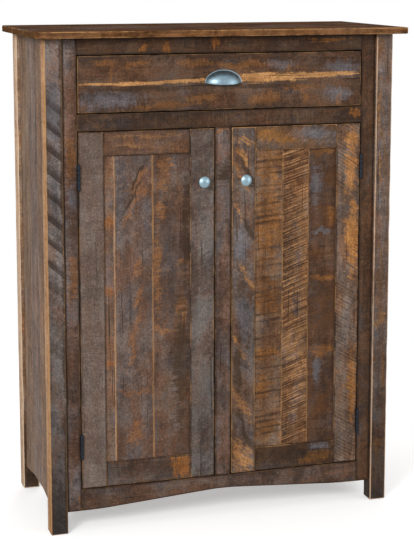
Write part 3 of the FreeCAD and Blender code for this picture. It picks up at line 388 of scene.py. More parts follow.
# %% [markdown]
# Where a board was sawn through the outer rings of the trunk, the rings show as nested arches.
# The distance along the board is bent by the square of the distance across it, and thin lines
# are drawn where a noise of that bent distance crosses its middle value.


# %% Arches of the growth rings
def cathedral_grain(board, pitch, bow, amount=0.6, tone="#3a2818"):
    """Rings about pitch mm apart, whose arches rise by bow mm over 20 mm across the board."""
    tree = board.tree
    place = add(tree, "SeparateXYZ", {0: board.pushed}).node.outputs
    square = add(tree, "Math", {0: place[1], 1: place[1]}, operation="MULTIPLY")
    bent = add(tree, "Math", {0: square, 1: bow * MM / (20 * MM) ** 2, 2: place[0]},
               operation="MULTIPLY_ADD")
    bent = add(tree, "CombineXYZ", {0: bent, 1: place[1], 2: place[2]})
    rings = clouds(board, bent, (pitch, 150, 150), 3.0, 0.5, 4.9)
    rings = add(tree, "Math", {0: rings, 1: 0.5}, operation="SUBTRACT")
    rings = add(tree, "Math", {0: rings}, operation="ABSOLUTE")
    lay(board, tone, rings, 0.022, 0.0, amount)
    lay(board, "#8c6238", rings, 0.05, 0.03, 0.35 * amount)


# %% [markdown]
# Hairline cracks follow the grain as dark threads a millimetre wide. Grime makes whole areas of
# a board a little darker, and a board can grow darker towards the floor, up to a given height.
# The smallest speckle keeps the surface from looking airbrushed.


# %% Cracks and grime
def cracks_and_grime(board, cracks, grime, foot):
    """Dark cracks, uneven grime and speckle, and darker towards the floor, up to foot mm."""
    tree = board.tree
    crack = clouds(board, board.pushed, (310, 4.8, 4.8), 2.0, 0.5, 3.1)
    board.crack = lay(board, UMBER, crack, 0.34, 0.28, cracks)
    shade = clouds(board, board.own, (240, 110, 110), 5.0, 0.62, 6.1)
    shade = add(tree, "MapRange", {"Value": shade, **span(*USUAL, 1 - grime, 1 + grime)})
    speckle = clouds(board, board.own, (4.5, 4, 4), 3.0, 0.7, 10.3)
    speckle = add(tree, "MapRange", {"Value": speckle, **span(*USUAL, 0.56, 1.44)})
    shade = add(tree, "Math", {0: shade, 1: speckle}, operation="MULTIPLY")
    if foot:
        along = add(tree, "SeparateXYZ", {0: board.own}).node.outputs[0]
        ground = -board.centre.z
        darker_low = add(tree, "MapRange", {"Value": along, **span(ground, ground + foot * MM, 0.2)})
        shade = add(tree, "Math", {0: shade, 1: darker_low}, operation="MULTIPLY")
    board.colour = add(tree, "VectorMath", {0: board.colour, "Scale": shade},
                       operation="SCALE")


# %% [markdown]
# The ends of a board show end grain, and a side that was cut later has fresh tones of its own.
# Along the edges of the doors, the drawer and the frame, a dark band is painted shade where the
# gaps and recesses between the parts fall into shadow. Edges are worn down to tan wood, but
# not everywhere: the line thins out and comes back. How near a point is to an edge is kept in
# the mesh as an attribute called edge.


# %% Ends, sides, painted gap shade and worn edges
def ends_and_edges(board, side_cut, edge, edge_tone, broken, gap_shade):
    """side_cut is a dark tone, a light tone and the side that they are on, as -1 or 1."""
    tree = board.tree
    normal = add(tree, "TexCoord").node.outputs["Normal"]
    faces = add(tree, "SeparateXYZ", {0: normal}).node.outputs
    if side_cut:
        share = add(tree, "MapRange", {"Value": board.weather, **span(0.36, 0.64)})
        fresh = add(tree, "Mix", {"Factor": share, "A": side_cut[0], "B": side_cut[1]},
                    data_type="RGBA")
        facing = add(tree, "Math", {0: faces[board.axes[1]], 1: side_cut[2]},
                     operation="MULTIPLY")
        lay(board, fresh, facing, 0.5, 0.9, 0.8)
    facing = add(tree, "Math", {0: faces[board.axes[0]]}, operation="ABSOLUTE")
    end_grain = add(tree, "Mix", {"Factor": board.mottle, "A": DARK_BROWN, "B": END_GRAIN},
                    data_type="RGBA")
    lay(board, end_grain, facing, 0.6, 0.9, 0.85)
    near = add(tree, "Attribute", attribute_name="edge").node.outputs["Fac"]
    # Painted shade: a dark band along the edges, where the gaps and grooves between parts fall
    # into shadow.
    if gap_shade:
        lay(board, UMBER, near, 0.3, 1.0, gap_shade)
    comes = clouds(board, board.own, (120, 60, 60), 4.0, 0.65, 11.9)
    comes = add(tree, "Mix", {"Factor": 0.4, "A": comes, "B": board.ragged})
    comes = add(tree, "MapRange", {"Value": comes, **span(0.38, 0.6, -broken, 0.1)})
    worn = add(tree, "Math", {0: near, 1: comes}, operation="ADD")
    lay(board, edge_tone, worn, 0.62, 0.92, edge)


# %% [markdown]
# The relief comes from the same patterns as the colour: grain, blade lines, cracks and grooves
# are real dents, at most about a millimetre deep. The sealer is matt, with little gloss.

# %% Relief and sealer
RELIEF = 1.2 * MM


def sealed_surface(board, rough, gloss, bump):
    """Waterborne sealer on softwood: matt, faint gloss, and a relief of bump times its depth."""
    tree = board.tree
    height = add(tree, "Math", {0: board.weather, 1: 0.6}, operation="MULTIPLY")
    height = add(tree, "Math", {0: board.crack, 1: -0.6, 2: height}, operation="MULTIPLY_ADD")
    if board.cut is not None:
        height = add(tree, "Math", {0: board.cut, 1: height}, operation="ADD")
    relief = add(tree, "Bump", {"Strength": 0.9, "Distance": RELIEF * bump,
                                "Height": height})
    uneven = add(tree, "MapRange", {"Value": board.fine,
                                    **span(*USUAL, rough + 0.1, rough - 0.08)})
    skin = add(tree, "BsdfPrincipled", {"Base Color": board.colour, "Roughness": uneven,
                                        "Specular IOR Level": gloss, "Normal": relief})
    add(tree, "OutputMaterial", {"Surface": skin})


# %% [markdown]
# Now the layers go on in their order. A board's finish is then a short list of what makes it
# different from its neighbours: its tones, how raw or blue it is, its patches and its saw marks.


# %% The finish of a reclaimed board
def barnwood(name, low, high, axes, seed, tones=(GREY_BROWN, DARK_BROWN, LIGHT_GREY),
             contrast=1.0, kerf=1.0, kerf_turn=0, streaks=1.0, rag=(16, 16, 16), bands=None,
             warm=0.5, cool=0.3, scratch=0.5, raw=0.0, raw_spots=(), raw_share=0.85,
             raw_tones=(RAW_DARK, RAW_ORANGE), solid=0.5, blue=0.0, blue_spots=(),
             dark_spots_and_shadows=(), split_spots=(), saw=None, rings=None, cracks=0.8, grime=0.26,
             foot=0, side_cut=None, edge=0.4, edge_tone=EDGE_TAN, broken=0.7, gap_shade=0.0,
             rough=0.68, gloss=0.2, bump=1.0):
    """Softwood board, sawn and weathered, sealed matt: grey skin, raw patches, saw marks."""
    board = board_space(name, low, high, axes, seed)
    weathered_skin(board, tones, contrast, kerf, kerf_turn, streaks, rag)
    stacked_bands(board, *(bands or (tones[2], tones[1], 0.35)))
    handling(board, seed, warm, cool, scratch, tones[2])
    if blue > 0 or blue_spots:
        cloud = clouds(board, board.own, (160, 65, 65), 4.0, 0.6, 1.7)
        patches(board, blue_spots, (BLUE_DARK, BLUE_LIGHT), 0.85, cloud, 0.74 - 0.22 * blue,
                solid=0.75, soft=0.7, rough_edge=3.2)
    if raw > 0 or raw_spots:
        cloud = clouds(board, board.pushed, (100, 25, 25), 5.0, 0.62, 2.3)
        patches(board, raw_spots, raw_tones, raw_share, cloud, 0.8 - 0.3 * raw, solid)
    if split_spots:
        patches(board, split_spots, ("#8c5c30", "#c99560"), 1.0, solid=0.9, split=True,
                soft=0.3)
    if saw:
        saw_marks(board, **saw)
    if rings:
        cathedral_grain(board, **rings)
    cracks_and_grime(board, cracks, grime, foot)
    ends_and_edges(board, side_cut, edge, edge_tone, broken, gap_shade)
    # Dark spots are dark marks of the wood; on the left front post and on the mullion they are
    # painted shadows.
    if dark_spots_and_shadows:
        patches(board, dark_spots_and_shadows, (UMBER, DARK_BROWN), 0.8, solid=0.9)
    sealed_surface(board, rough, gloss, bump)
    return board.material


# %% [markdown]
# A sawn board starts as a cube. Its long edges are divided so that there are slices along the
# grain, its sharp edges are bevelled, and a loop near each edge holds the wear there. Then each
# slice is pressed in a little by noise, most of all at the edges, where a board gets knocked.
# The number at each point that says how near the edge it is also paints the worn tan line.

# %% Make a worn board
EDGE_BAND = 2.6 * MM
SLICE = 14 * MM
SHALLOW_DENT = 0.25 * MM
GNAWS, CHIPS, WAVES = 60, 22, 9
ALONG_GRAIN = 0.35
ON_SKIN = 1.02
MADE = []


def new_piece(name, shape, node):
    """Turns a bmesh into a smooth piece that stands for a node and rides on its body."""
    mesh = bpy.data.meshes.new(name)
    shape.to_mesh(mesh)
    shape.free()
    mesh.shade_smooth()
    piece = bpy.data.objects.new(name, mesh)
    bpy.context.scene.collection.objects.link(piece)
    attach(piece, BODY_OF[node])
    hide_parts(node)
    MADE.append((name, len(mesh.polygons)))
    return piece


def worn_board(name, node, low, high, grain, rounding=1.6, wear=0.9, arch=None,
               band=EDGE_BAND):
    """A bevelled board between two corners, pressed in at its edges, that stands for a node.

    rounding and wear are in mm, and a band at the edges is cut fine enough to be dented.
    """
    size = high - low
    centre = (low + high) / 2
    round_off = rounding * MM
    board = bmesh.new()
    bmesh.ops.create_cube(board, size=1)
    bmesh.ops.scale(board, vec=size, verts=board.verts)
    long_edges = [e for e in board.edges
                  if abs((e.verts[0].co - e.verts[1].co)[grain]) > 0.5 * size[grain]]
    bmesh.ops.subdivide_edges(board, edges=long_edges, cuts=int(size[grain] / SLICE),
                              use_grid_fill=True)
    sharp = [e for e in board.edges if e.calc_face_angle() > 1]
    bmesh.ops.bevel(board, geom=sharp, offset=round_off, segments=3, profile=0.5,
                    affect="EDGES", material=-1)
    for axis in (X, Y, Z):
        inset = size[axis] / 2 - round_off - band
        if inset < 1 * MM:
            continue
        normal = Vector((0, 0, 0))
        normal[axis] = 1
        for side in (-1, 1):
            bmesh.ops.bisect_plane(board, geom=board.verts[:] + board.edges[:] + board.faces[:],
                                   plane_co=normal * inset * side, plane_no=normal)
    nearness = board.verts.layers.float.new("edge")
    start = sum(ord(letter) for letter in name) * 0.37
    for vert in board.verts:
        depths = [size[axis] / 2 - abs(vert.co[axis]) for axis in (X, Y, Z)]
        second = sorted(depths)[1]
        close = min(1, max(0, 1 - (second - round_off) / band))
        vert[nearness] = close
        spot = vert.co.copy()
        spot[grain] *= ALONG_GRAIN
        gnaw = max(0, noise.noise(spot * GNAWS + Vector((start, 0, 0))))
        chip = max(0, noise.noise(spot * CHIPS + Vector((0, start, 0))) - 0.25) * 3
        wave = 0.5 + 0.5 * noise.noise(spot * WAVES + Vector((0, 0, start)))
        press = wear * (MM * close * (0.25 + 0.9 * gnaw + chip) + SHALLOW_DENT * wave)
        for axis in (X, Y, Z):
            if depths[axis] < round_off * ON_SKIN:
                vert.co[axis] -= math.copysign(press, vert.co[axis])
    if arch:
        for vert in board.verts:
            rise = arch(vert.co + centre) - low.z
            vert.co.z += rise * (size.z / 2 - vert.co.z) / size.z
    bmesh.ops.translate(board, vec=centre, verts=board.verts)
    return new_piece(name, board, node)


UPRIGHT = (Z, X, Y)
LEVEL = (X, Z, Y)
FLAT = (X, Y, Z)
SIDEWAYS = (Z, Y, X)


def dress(name, node, axes, seed, finish, low=None, high=None, **shape):
    """A worn board for a node, with its own barnwood."""
    corner_low, corner_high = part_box(node)
    low = low or corner_low
    high = high or corner_high
    piece = worn_board(name, node, low, high, axes[0], **shape)
    piece.data.materials.append(barnwood("reclaimed_" + name, low, high, axes, seed, **finish))


# %% [markdown]
# The four corner posts are square timbers that run to the floor as legs. The left front one
# has deep slanting marks of a band saw in its upper half. The outer sides were cut later than
# the fronts, so they show fresh tan wood with pale lines.

# %% The corner posts
POST = dict(rounding=2.2, wear=1.2, band=2.8 * MM)
LEFT_CUT = ("#a8744a", "#e0b07f", -1)
RIGHT_CUT = ("#a8744a", "#e0b07f", 1)
dress(
    "post_left_front", "post_front_left", UPRIGHT, 1.3,
    dict(tones=("#6b5f59", "#463a33", "#958b86"), contrast=0.75, kerf=1.3, kerf_turn=-38, warm=0.4,
         cool=0.15, blue_spots=[(1080, -436, 110, 20), (860, -436, 90, 16)],
         saw=dict(pitch=44, slant=-40, depth=0.85, cover=1.8, waves=0.7,
                  zone=(560, 700, 1060, 1160), profile="SAW", bend=8), side_cut=LEFT_CUT,
         # Painted shadow: the dark spot is a strip down the post's inner front edge, where the
         # post stands proud of the frame.
         dark_spots_and_shadows=[(620, -414, 3000, 8)], foot=700, edge=0.85, broken=0.25), **POST)
dress(
    "post_right_front", "post_front_right", UPRIGHT, 2.9,
    dict(tones=("#6a5a53", "#423227", "#8d7e73"), raw=0.3, blue=0.3, raw_share=0.7,
         raw_spots=[(497, 435, 25, 17, 20), (358, 447, 74, 6), (153, 436, 24, 18, 15),
                    (901, 427, 46, 5), (1060, 425, 60, 5)], raw_tones=("#875831", "#b9864f"),
         side_cut=RIGHT_CUT, rings=dict(pitch=34, bow=150, amount=0.85), foot=700, edge=0.8,
         broken=0.25, edge_tone="#d2b092"), **POST)
dress(
    "post_left_back", "post_back_left", UPRIGHT, 4.1,
    dict(tones=("#92735a", "#674b38", "#bf9f7a"), side_cut=("#bd9370", "#ecccac", -1), foot=700,
         edge=1.0, edge_tone="#dcbfa3", broken=0.2), **POST)
dress(
    "post_right_back", "post_back_right", UPRIGHT, 5.7,
    dict(tones=("#7a6152", "#4d392b", "#97806c"), side_cut=RIGHT_CUT, foot=700, edge=0.9), **POST)
print("posts", len(MADE))

# %% [markdown]
# Under each side and under the front, a long arch is sawn into the lower edge. The board is
# made straight and its lower part is then pushed up to the arch of the CAD solid, which a ray
# from below finds. The middle boards of a side panel are pushed up the most.


# %% Read an arch from the solid
def arch_under(node):
    """A function that gives the height of the solid's lower edge above a point."""
    solid = BVHTree.FromPolygons([v.co for v in frame["nodes"][node].data.vertices],
                                 [p.vertices for p in frame["nodes"][node].data.polygons])
    low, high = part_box(node)
    middle = (low + high) / 2

    def edge(point, spare=3 * MM):
        """The height of the first hit of a ray from below, at most at the solid's own ends."""
        at = Vector((min(max(point.x, low.x + spare), high.x - spare),
                     min(max(point.y, low.y + spare), high.y - spare), low.z - 100 * MM))
        if high.x - low.x < high.y - low.y:
            at.x = middle.x
        else:
            at.y = middle.y
        hit = solid.ray_cast(at, Vector((0, 0, 1)))[0]
        return hit.z if hit else low.z
    return edge


print("crown of the front arch", round(arch_under("face_rail_bottom")(Vector((0, 0, 0))), 4))

# %% [markdown]
# Each side is three upright boards, glued edge to edge and held in grooves of the posts.
# In the photograph their grain and tone differ, so each board is a piece of its own.

# %% The side panels
SIDE = dict(streaks=2.4, warm=0.3, cool=0.12, kerf=0.5)
SIDE_TONES = [
    dict(
        tones=("#7c614c", "#493325", "#a4876d"), raw=0.3, contrast=1.0,
        bands=("#8d715b", "#684e3c", 0.25), edge=0.7, edge_tone="#c6a586", **SIDE),
    dict(
        tones=("#776459", "#46372d", "#9c8778"), raw=0.1, contrast=1.1,
        bands=("#887467", "#604e43", 0.25), edge=0.6, edge_tone="#c6a586", **SIDE),
    dict(
        tones=("#7c6451", "#493425", "#9a826a"), raw=0.25, contrast=1.1,
        bands=("#8a715c", "#644d3b", 0.25), edge=0.6, **SIDE),
]
for side in ("left", "right"):
    node = "side_panel_" + side
    low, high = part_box(node)
    step = (high.y - low.y) / 3
    for count, finish in enumerate(SIDE_TONES):
        part_low = Vector((low.x, low.y + step * count, low.z))
        part_high = Vector((high.x, low.y + step * (count + 1), high.z))
        dress(
            f"side_{side}_board_{count + 1}", node, SIDEWAYS, 6.1 + count + (side == "right") * 5,
            finish, low=part_low, high=part_high, arch=arch_under(node), rounding=0.8, wear=0.5)
print("boards with the sides", len(MADE))

# %% [markdown]
# The top is three long boards with the grain from side to side. Its faces are planed and
# sealed, so they are darker, and the front edge shows orange wood with a bright line above it.

# %% The top
TOP = dict(rounding=2.0, wear=0.7, band=1.6 * MM)
TOP_SKIN = dict(
    rough=0.8, gloss=0.0, kerf=0.3, contrast=0.75, streaks=1.8, warm=0.6, cool=0.1, edge=0.7)
dress(
    "top_front", "top_board_front", FLAT, 11.2,
    dict(tones=("#62493a", "#3a2a20", "#8b6f5a"), raw=0.2, bands=("#735846", "#4c3528", 0.3),
         side_cut=("#422917", "#8f633e", -1), **TOP_SKIN), **TOP)
dress(
    "top_middle", "top_board_middle", FLAT, 12.7,
    dict(tones=("#604d44", "#3a2c24", "#86756b"), blue=0.3, bands=("#6f5b50", "#4d3b31", 0.3),
         **TOP_SKIN), **TOP)
dress(
    "top_back", "top_board_back", FLAT, 13.9,
    dict(tones=("#654b38", "#3e2c20", "#84674e"), raw=0.15, bands=("#745944", "#4f3929", 0.3),
         **TOP_SKIN), **TOP)
print("boards with the top", len(MADE))

# %% [markdown]
# The face frame is six boards round the drawer and the doors. The uprights run past the rails,
# so each rail is only as long as the space between them.

# %% The face frame
# The wide band at the frame's edges spreads its painted gap shade over about 7 mm.
FRAME = dict(rounding=0.9, wear=0.4, band=7 * MM)
# How dark the painted shade in the gaps of the frame, the doors and the drawer is.
GAP_SHADE = 0.9
dress(
    "frame_stile_left", "face_stile_left", UPRIGHT, 15.1,
    dict(tones=("#53433c", "#33251b", "#786962"), raw=0.12, kerf=1.6,
         raw_spots=[(961, -393, 53, 16), (660, -393, 58, 12), (83, -379, 24, 5)],
         raw_tones=("#5e3c1e", "#8a5a2e"), raw_share=0.7, blue_spots=[(860, -390, 34, 16)],
         bands=("#726460", "#4b3324", 0.5, 110), edge=0.2, gap_shade=GAP_SHADE), **FRAME)
dress(
    "frame_stile_right", "face_stile_right", UPRIGHT, 16.4,
    dict(tones=("#4e3727", "#2e2015", "#684f3c"), raw=0.15, edge=0.15, gap_shade=GAP_SHADE), **FRAME)
left_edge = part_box("face_stile_left")[1].x
right_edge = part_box("face_stile_right")[0].x
RAILS = {
    "face_rail_top": dict(
        tones=("#432e20", "#281b13", "#5c4837"), raw=0.12,
        raw_spots=[(-149, 1227, 14, 14), (-212, 1225, 16, 8, 40), (-20, 1238, 12, 16),
                   (277, 1240, 60, 5)], raw_share=0.7, kerf=1.4, edge=0.08, gap_shade=GAP_SHADE),
    "face_rail_middle": dict(
        tones=("#412d20", "#281b13", "#5d4838"), raw=0.05, raw_spots=[(362, 1047, 18, 14)],
        kerf=2.2, edge=0.12, gap_shade=GAP_SHADE),
    "face_rail_bottom": dict(
        tones=("#57443a", "#38291f", "#766459"), raw=0.1, blue=0.3, kerf=1.3, kerf_turn=5,
        edge=0.15, gap_shade=GAP_SHADE),
}
for count, (node, finish) in enumerate(RAILS.items()):
    low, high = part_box(node)
    low.x = left_edge
    high.x = right_edge
    arch = arch_under(node) if node == "face_rail_bottom" else None
    dress(
        "frame_" + node[5:], node, LEVEL, 17.3 + count * 1.9, finish, low=low, high=high,
        arch=arch, **FRAME)
low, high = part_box("face_mullion")
low.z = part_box("face_rail_bottom")[1].z
high.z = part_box("face_rail_middle")[0].z
dress(
    "frame_mullion", "face_mullion", UPRIGHT, 23.3,
    dict(tones=("#5f4f47", "#3f3029", "#80736f"), raw=0.05, blue=0.2, raw_spots=[(1019, 0, 9, 20)],
         # Painted shadow: the dark spot at 903 mm on the mullion.
         dark_spots_and_shadows=[(903, 0, 26, 18, 20)], edge=0.25, gap_shade=GAP_SHADE), low=low, high=high, **FRAME)
print("boards with the face frame", len(MADE))

# %% [markdown]
# A door is a frame of two stiles and two rails round three upright planks that sit 6 mm back
# in its groove. Only the rails' visible length is made, because their tenons never show.
# The planks are the liveliest boards of the whole cupboard: each has its own marks.

# %% The doors
DOOR = dict(rounding=0.9, wear=0.4, band=4 * MM)
PLANK = dict(rounding=0.8, wear=0.4, band=4.5 * MM)
LEFT_DOOR = {
    "hinge_stile": dict(
        tones=("#6b5b52", "#4a3b32", "#8a7e76"), contrast=0.55, streaks=0.5, blue=0.1, scratch=0.5,
        grime=0.2, warm=0.2, cool=0.1, bands=("#877a71", "#57473c", 0.2), edge=0.35),
    "knob_stile": dict(
        tones=("#5b4f49", "#3a302b", "#7d7671"), blue=0.2, kerf=1.1, kerf_turn=24, scratch=0.7,
        contrast=0.85, streaks=0.7, warm=0.3, cool=0.2, edge=0.6),
    "top_rail": dict(
        tones=("#5c4335", "#3c2a1e", "#7b5f48"), raw=0.05, contrast=0.75,
        raw_spots=[(-197, 1008, 96, 5), (-240, 985, 40, 6)], raw_tones=("#6b4a30", "#8c6743"),
        edge=0.3),
    "bottom_rail": dict(
        tones=("#4f4038", "#31261f", "#6c5f58"), blue=0.25, raw_spots=[(-116, 146, 30, 34)],
        edge=0.5),
    "plank_1": dict(
        tones=("#745d4e", "#4d392d", "#947d6c"), raw=0.35, kerf=1.1, contrast=0.6, streaks=0.5,
        raw_share=0.65, broken=0.3,
        raw_spots=[(798, -299, 16, 14), (618, -299, 16, 14), (429, -299, 12, 14)],
        raw_tones=("#8a5226", "#b07038"), bands=("#86634e", "#5a3f31", 0.5), edge=1.0,
        edge_tone="#cda887"),
    "plank_2": dict(
        tones=("#63524a", "#44352e", "#80726a"), raw=0.28, blue=0.15, contrast=0.8, streaks=0.6,
        raw_share=0.62, solid=0.25, kerf_turn=28, broken=0.3, raw_tones=("#7d4f2d", "#a46d40"),
        raw_spots=[(868, -222, 14, 34), (900, -216, 50, 6, 24), (820, -240, 70, 6, 28),
                   (674, -224, 34, 12, 24), (354, -236, 8, 46), (247, -232, 30, 22, 20),
                   (520, -232, 60, 8, 14), (461, -238, 60, 8, 10), (600, -226, 36, 8, 24)],
        dark_spots_and_shadows=[(905, -222, 60, 5, 24), (845, -240, 60, 4, 28)], edge=0.85),
    "plank_3": dict(
        tones=("#5c4a41", "#392b24", "#78685f"), raw=0.28, kerf=1.3, contrast=0.85, streaks=0.6,
        raw_share=0.66, solid=0.3, kerf_turn=4, broken=0.3, raw_tones=("#7d4f2d", "#aa7445"),
        raw_spots=[(905, -153, 52, 22), (816, -164, 26, 18), (655, -172, 130, 10),
                   (680, -105, 9, 24), (510, -162, 9, 22), (567, -112, 30, 14, 20),
                   (540, -100, 40, 8), (337, -99, 12, 12)], bands=("#7e6a5c", "#4a3224", 0.4),
        dark_spots_and_shadows=[(760, -98, 170, 12), (420, -110, 190, 26)], edge=0.7),
}
RIGHT_DOOR = {
    "hinge_stile": dict(
        tones=("#725d50", "#4b392b", "#907d6d"), raw=0.38,
        raw_spots=[(892, 350, 62, 24), (725, 355, 115, 20), (334, 361, 92, 13),
                   (985, 352, 30, 20)], raw_tones=("#8f5a2a", "#c98c4e"), solid=0.8, kerf_turn=-30,
        saw=dict(pitch=8, slant=-30, depth=0.5, cover=0.6, bend=14), edge=0.5),
    "knob_stile": dict(
        tones=("#5c4b41", "#382a22", "#7c6e66"), raw=0.4, blue=0.15, kerf_turn=-32, kerf=1.5,
        solid=0.1, scratch=0.8,
        raw_spots=[(988, 57, 10, 34, 15), (950, 50, 34, 10, -32), (905, 42, 60, 8, -30),
                   (811, 36, 30, 6, -20), (640, 60, 40, 8, -28), (440, 46, 50, 8, -30),
                   (157, 54, 44, 30, -25), (300, 52, 60, 12, -30)],
        raw_tones=("#80512c", "#b98550"),
        dark_spots_and_shadows=[(760, 66, 30, 8, -28), (910, 62, 44, 6, -30), (390, 40, 90, 12),
                    (225, 62, 60, 8, -20)], blue_spots=[(527, 58, 70, 24), (720, 50, 60, 24)],
        edge=0.85, broken=0.35),
    "top_rail": dict(
        tones=("#59422f", "#3c2a1c", "#765d48"), raw=0.12, raw_share=0.75,
        raw_spots=[(120, 1000, 46, 20), (170, 986, 50, 12)], raw_tones=("#5e3c1d", "#9a6731"),
        kerf_turn=40, blue_spots=[(242, 1000, 60, 26)], edge=0.7, broken=0.4),
    "bottom_rail": dict(
        tones=("#432f20", "#291c12", "#5d4632"), raw=0.25, raw_spots=[(262, 138, 48, 16, 10)],
        raw_tones=("#54361c", "#80552a"), blue_spots=[(269, 162, 36, 13)], edge=0.5),
    "plank_1": dict(
        tones=("#785d49", "#4c3526", "#9b8269"), raw=0.36, raw_share=0.75,
        raw_spots=[(916, 126, 50, 46), (763, 126, 110, 46), (617, 126, 12, 42), (567, 126, 42, 44),
                   (429, 123, 16, 40), (340, 112, 40, 26), (229, 123, 30, 40)],
        raw_tones=("#5a3718", "#9a632a"), solid=0.5,
        saw=dict(pitch=16, slant=3, depth=0.9, cover=1.1, bunch=(60, 160), waves=0.15, bend=12),
        bands=("#92755b", "#543b28", 0.5), broken=0.4, edge=0.6),
    "plank_2": dict(
        tones=("#60412a", "#3d2717", "#826044"), raw=0.15, kerf=0.4,
        saw=dict(pitch=6.5, slant=19, depth=0.85, tone="#c59467", cover=1.1, bunch=(34, 120),
                 waves=0.1, bend=14), bands=("#8d6a49", "#452c1a", 0.45, 110), broken=0.4,
        edge=0.6),
    "plank_3": dict(
        tones=("#4d3424", "#2f1f14", "#69503d"), raw=0.3, kerf=1.3,
        raw_spots=[(951, 275, 10, 38), (777, 300, 34, 14), (620, 275, 9, 38), (420, 276, 22, 36)],
        raw_tones=("#5f3d1f", "#94602e"),
        blue_spots=[(865, 255, 60, 20), (380, 262, 60, 12), (740, 275, 8, 36)], raw_share=0.8,
        bands=("#5c4a40", "#5d3d22", 0.5), contrast=0.9, streaks=0.6, broken=0.4, edge=0.5),
}
for side, finishes in (("left", LEFT_DOOR), ("right", RIGHT_DOOR)):
    hinge_low, hinge_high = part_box(side + "_door_hinge_stile")
    knob_low, knob_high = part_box(side + "_door_knob_stile")
    inner = sorted((hinge_low.x, hinge_high.x, knob_low.x, knob_high.x))[1:3]
    for count, (part, finish) in enumerate(finishes.items()):
        node = f"{side}_door_{part}"
        low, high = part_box(node)
        axes = UPRIGHT
        shape = DOOR
        # Every door board but the planks gets painted gap shade along its edges.
        if not part.startswith("plank"):
            finish["gap_shade"] = GAP_SHADE
        if part.endswith("rail"):
            low.x, high.x = inner
            axes = LEVEL
        elif part.startswith("plank"):
            shape = PLANK
        dress(
            f"{side}_{part}_board", node, axes, 27.7 + count * 1.7 + 13 * (side == "right"),
            finish, low=low, high=high, **shape)
print("boards with the doors", len(MADE))

# %% [markdown]
# The drawer front is one wide board with its grain from side to side. A long split along it
# was planed down to bright wood: a thin streak at the left that swells behind the pull and ends
# in splinters. Blue-grey skin is left at its right end and lower left.

# %% The drawer front
dress(
    "drawer_front_board", "drawer_front", LEVEL, 51.7,
    dict(tones=("#513a2b", "#322216", "#6e5747"), raw=0.2, contrast=1.1,
         raw_spots=[(-76, 1186, 60, 10), (-150, 1080, 110, 8, 3), (110, 1090, 60, 16),
                    (-225, 1190, 50, 8, 12), (217, 1095, 9, 22), (310, 1080, 9, 22),
                    (-290, 1165, 5, 30), (170, 1170, 6, 22), (60, 1180, 110, 8),
                    (-60, 1100, 50, 10), (210, 1120, 60, 8), (-315, 1190, 30, 10)],
         raw_tones=("#6a4422", "#94602f"), raw_share=0.6, blue=0.4,
         blue_spots=[(320, 1170, 60, 24), (310, 1100, 40, 24), (-300, 1100, 95, 26),
                     (150, 1180, 46, 14)], dark_spots_and_shadows=[(-200, 1126, 140, 7), (120, 1124, 90, 6)],
         split_spots=[(-340, 1139, 62, 3), (-218, 1139, 90, 5, 1), (-110, 1142, 90, 5, 1),
                      (20, 1143, 90, 8), (95, 1146, 62, 14), (160, 1147, 90, 10, 2),
                      (250, 1149, 80, 7, 2), (325, 1152, 50, 5)], edge=0.55, broken=0.5,
         gap_shade=GAP_SHADE), **DOOR)
print(len(MADE), "boards,", sum(count for name, count in MADE), "faces")

# %% [markdown]
# The pull and the knobs are satin steel with a blue-grey cast. Steel takes its shape from
# reflections, so its colour is plain, its roughness is a little uneven and its brushed lines
# are fine.


# %% Satin steel
def satin_metal(name, colour, roughness, grit=0.4):
    """Steel, bead-blasted and plated: metallic, blurred reflections, faint uneven haze."""
    material = new_material(name)
    tree = material.node_tree
    here = add(tree, "TexCoord").node.outputs["Object"]
    haze = add(tree, "TexNoise", {"Vector": here, "Scale": 1 / (6 * MM), "Detail": 4.0})
    grain = add(tree, "TexNoise", {"Vector": here, "Scale": 1 / (grit * MM), "Detail": 2.0})
    rough = add(tree, "MapRange", {"Value": haze,
                                   **span(*USUAL, roughness - 0.06, roughness + 0.08)})
    tint = add(tree, "MapRange", {"Value": haze, **span(0.25, 0.75, 0.86, 1.1)})
    shade = add(tree, "VectorMath", {0: linear(colour)[:3], "Scale": tint}, operation="SCALE")
    relief = add(tree, "Bump", {"Strength": 0.3, "Distance": 0.05 * MM, "Height": grain})
    metal = add(tree, "BsdfPrincipled", {"Base Color": shade, "Metallic": 1.0,
                                         "Roughness": rough, "Normal": relief})
    add(tree, "OutputMaterial", {"Surface": metal})
    return material


STEEL = satin_metal("satin_blue_grey_steel", "#8ca5b0", 0.4)
# Painted shade: the pull's steel is the knobs' steel made a little darker, standing in for the
# dark reflections on its dome.
PULL_STEEL_SHADED = satin_metal("pull_steel_darkened_for_shade", "#8198a4", 0.42)
HINGE_STEEL = satin_metal("blackened_steel", "#2a2f37", 0.44)
ZINC = satin_metal("zinc_plated_steel", "#b9bcc0", 0.3)
print("steels", [metal.name for metal in (STEEL, PULL_STEEL_SHADED, HINGE_STEEL, ZINC)])

# %% [markdown]
# A knob is turned: a foot, a thin neck that flares out, a straight rim and a shallow dome.
# Half of its outline is drawn as a few points and spun round the knob's own line.


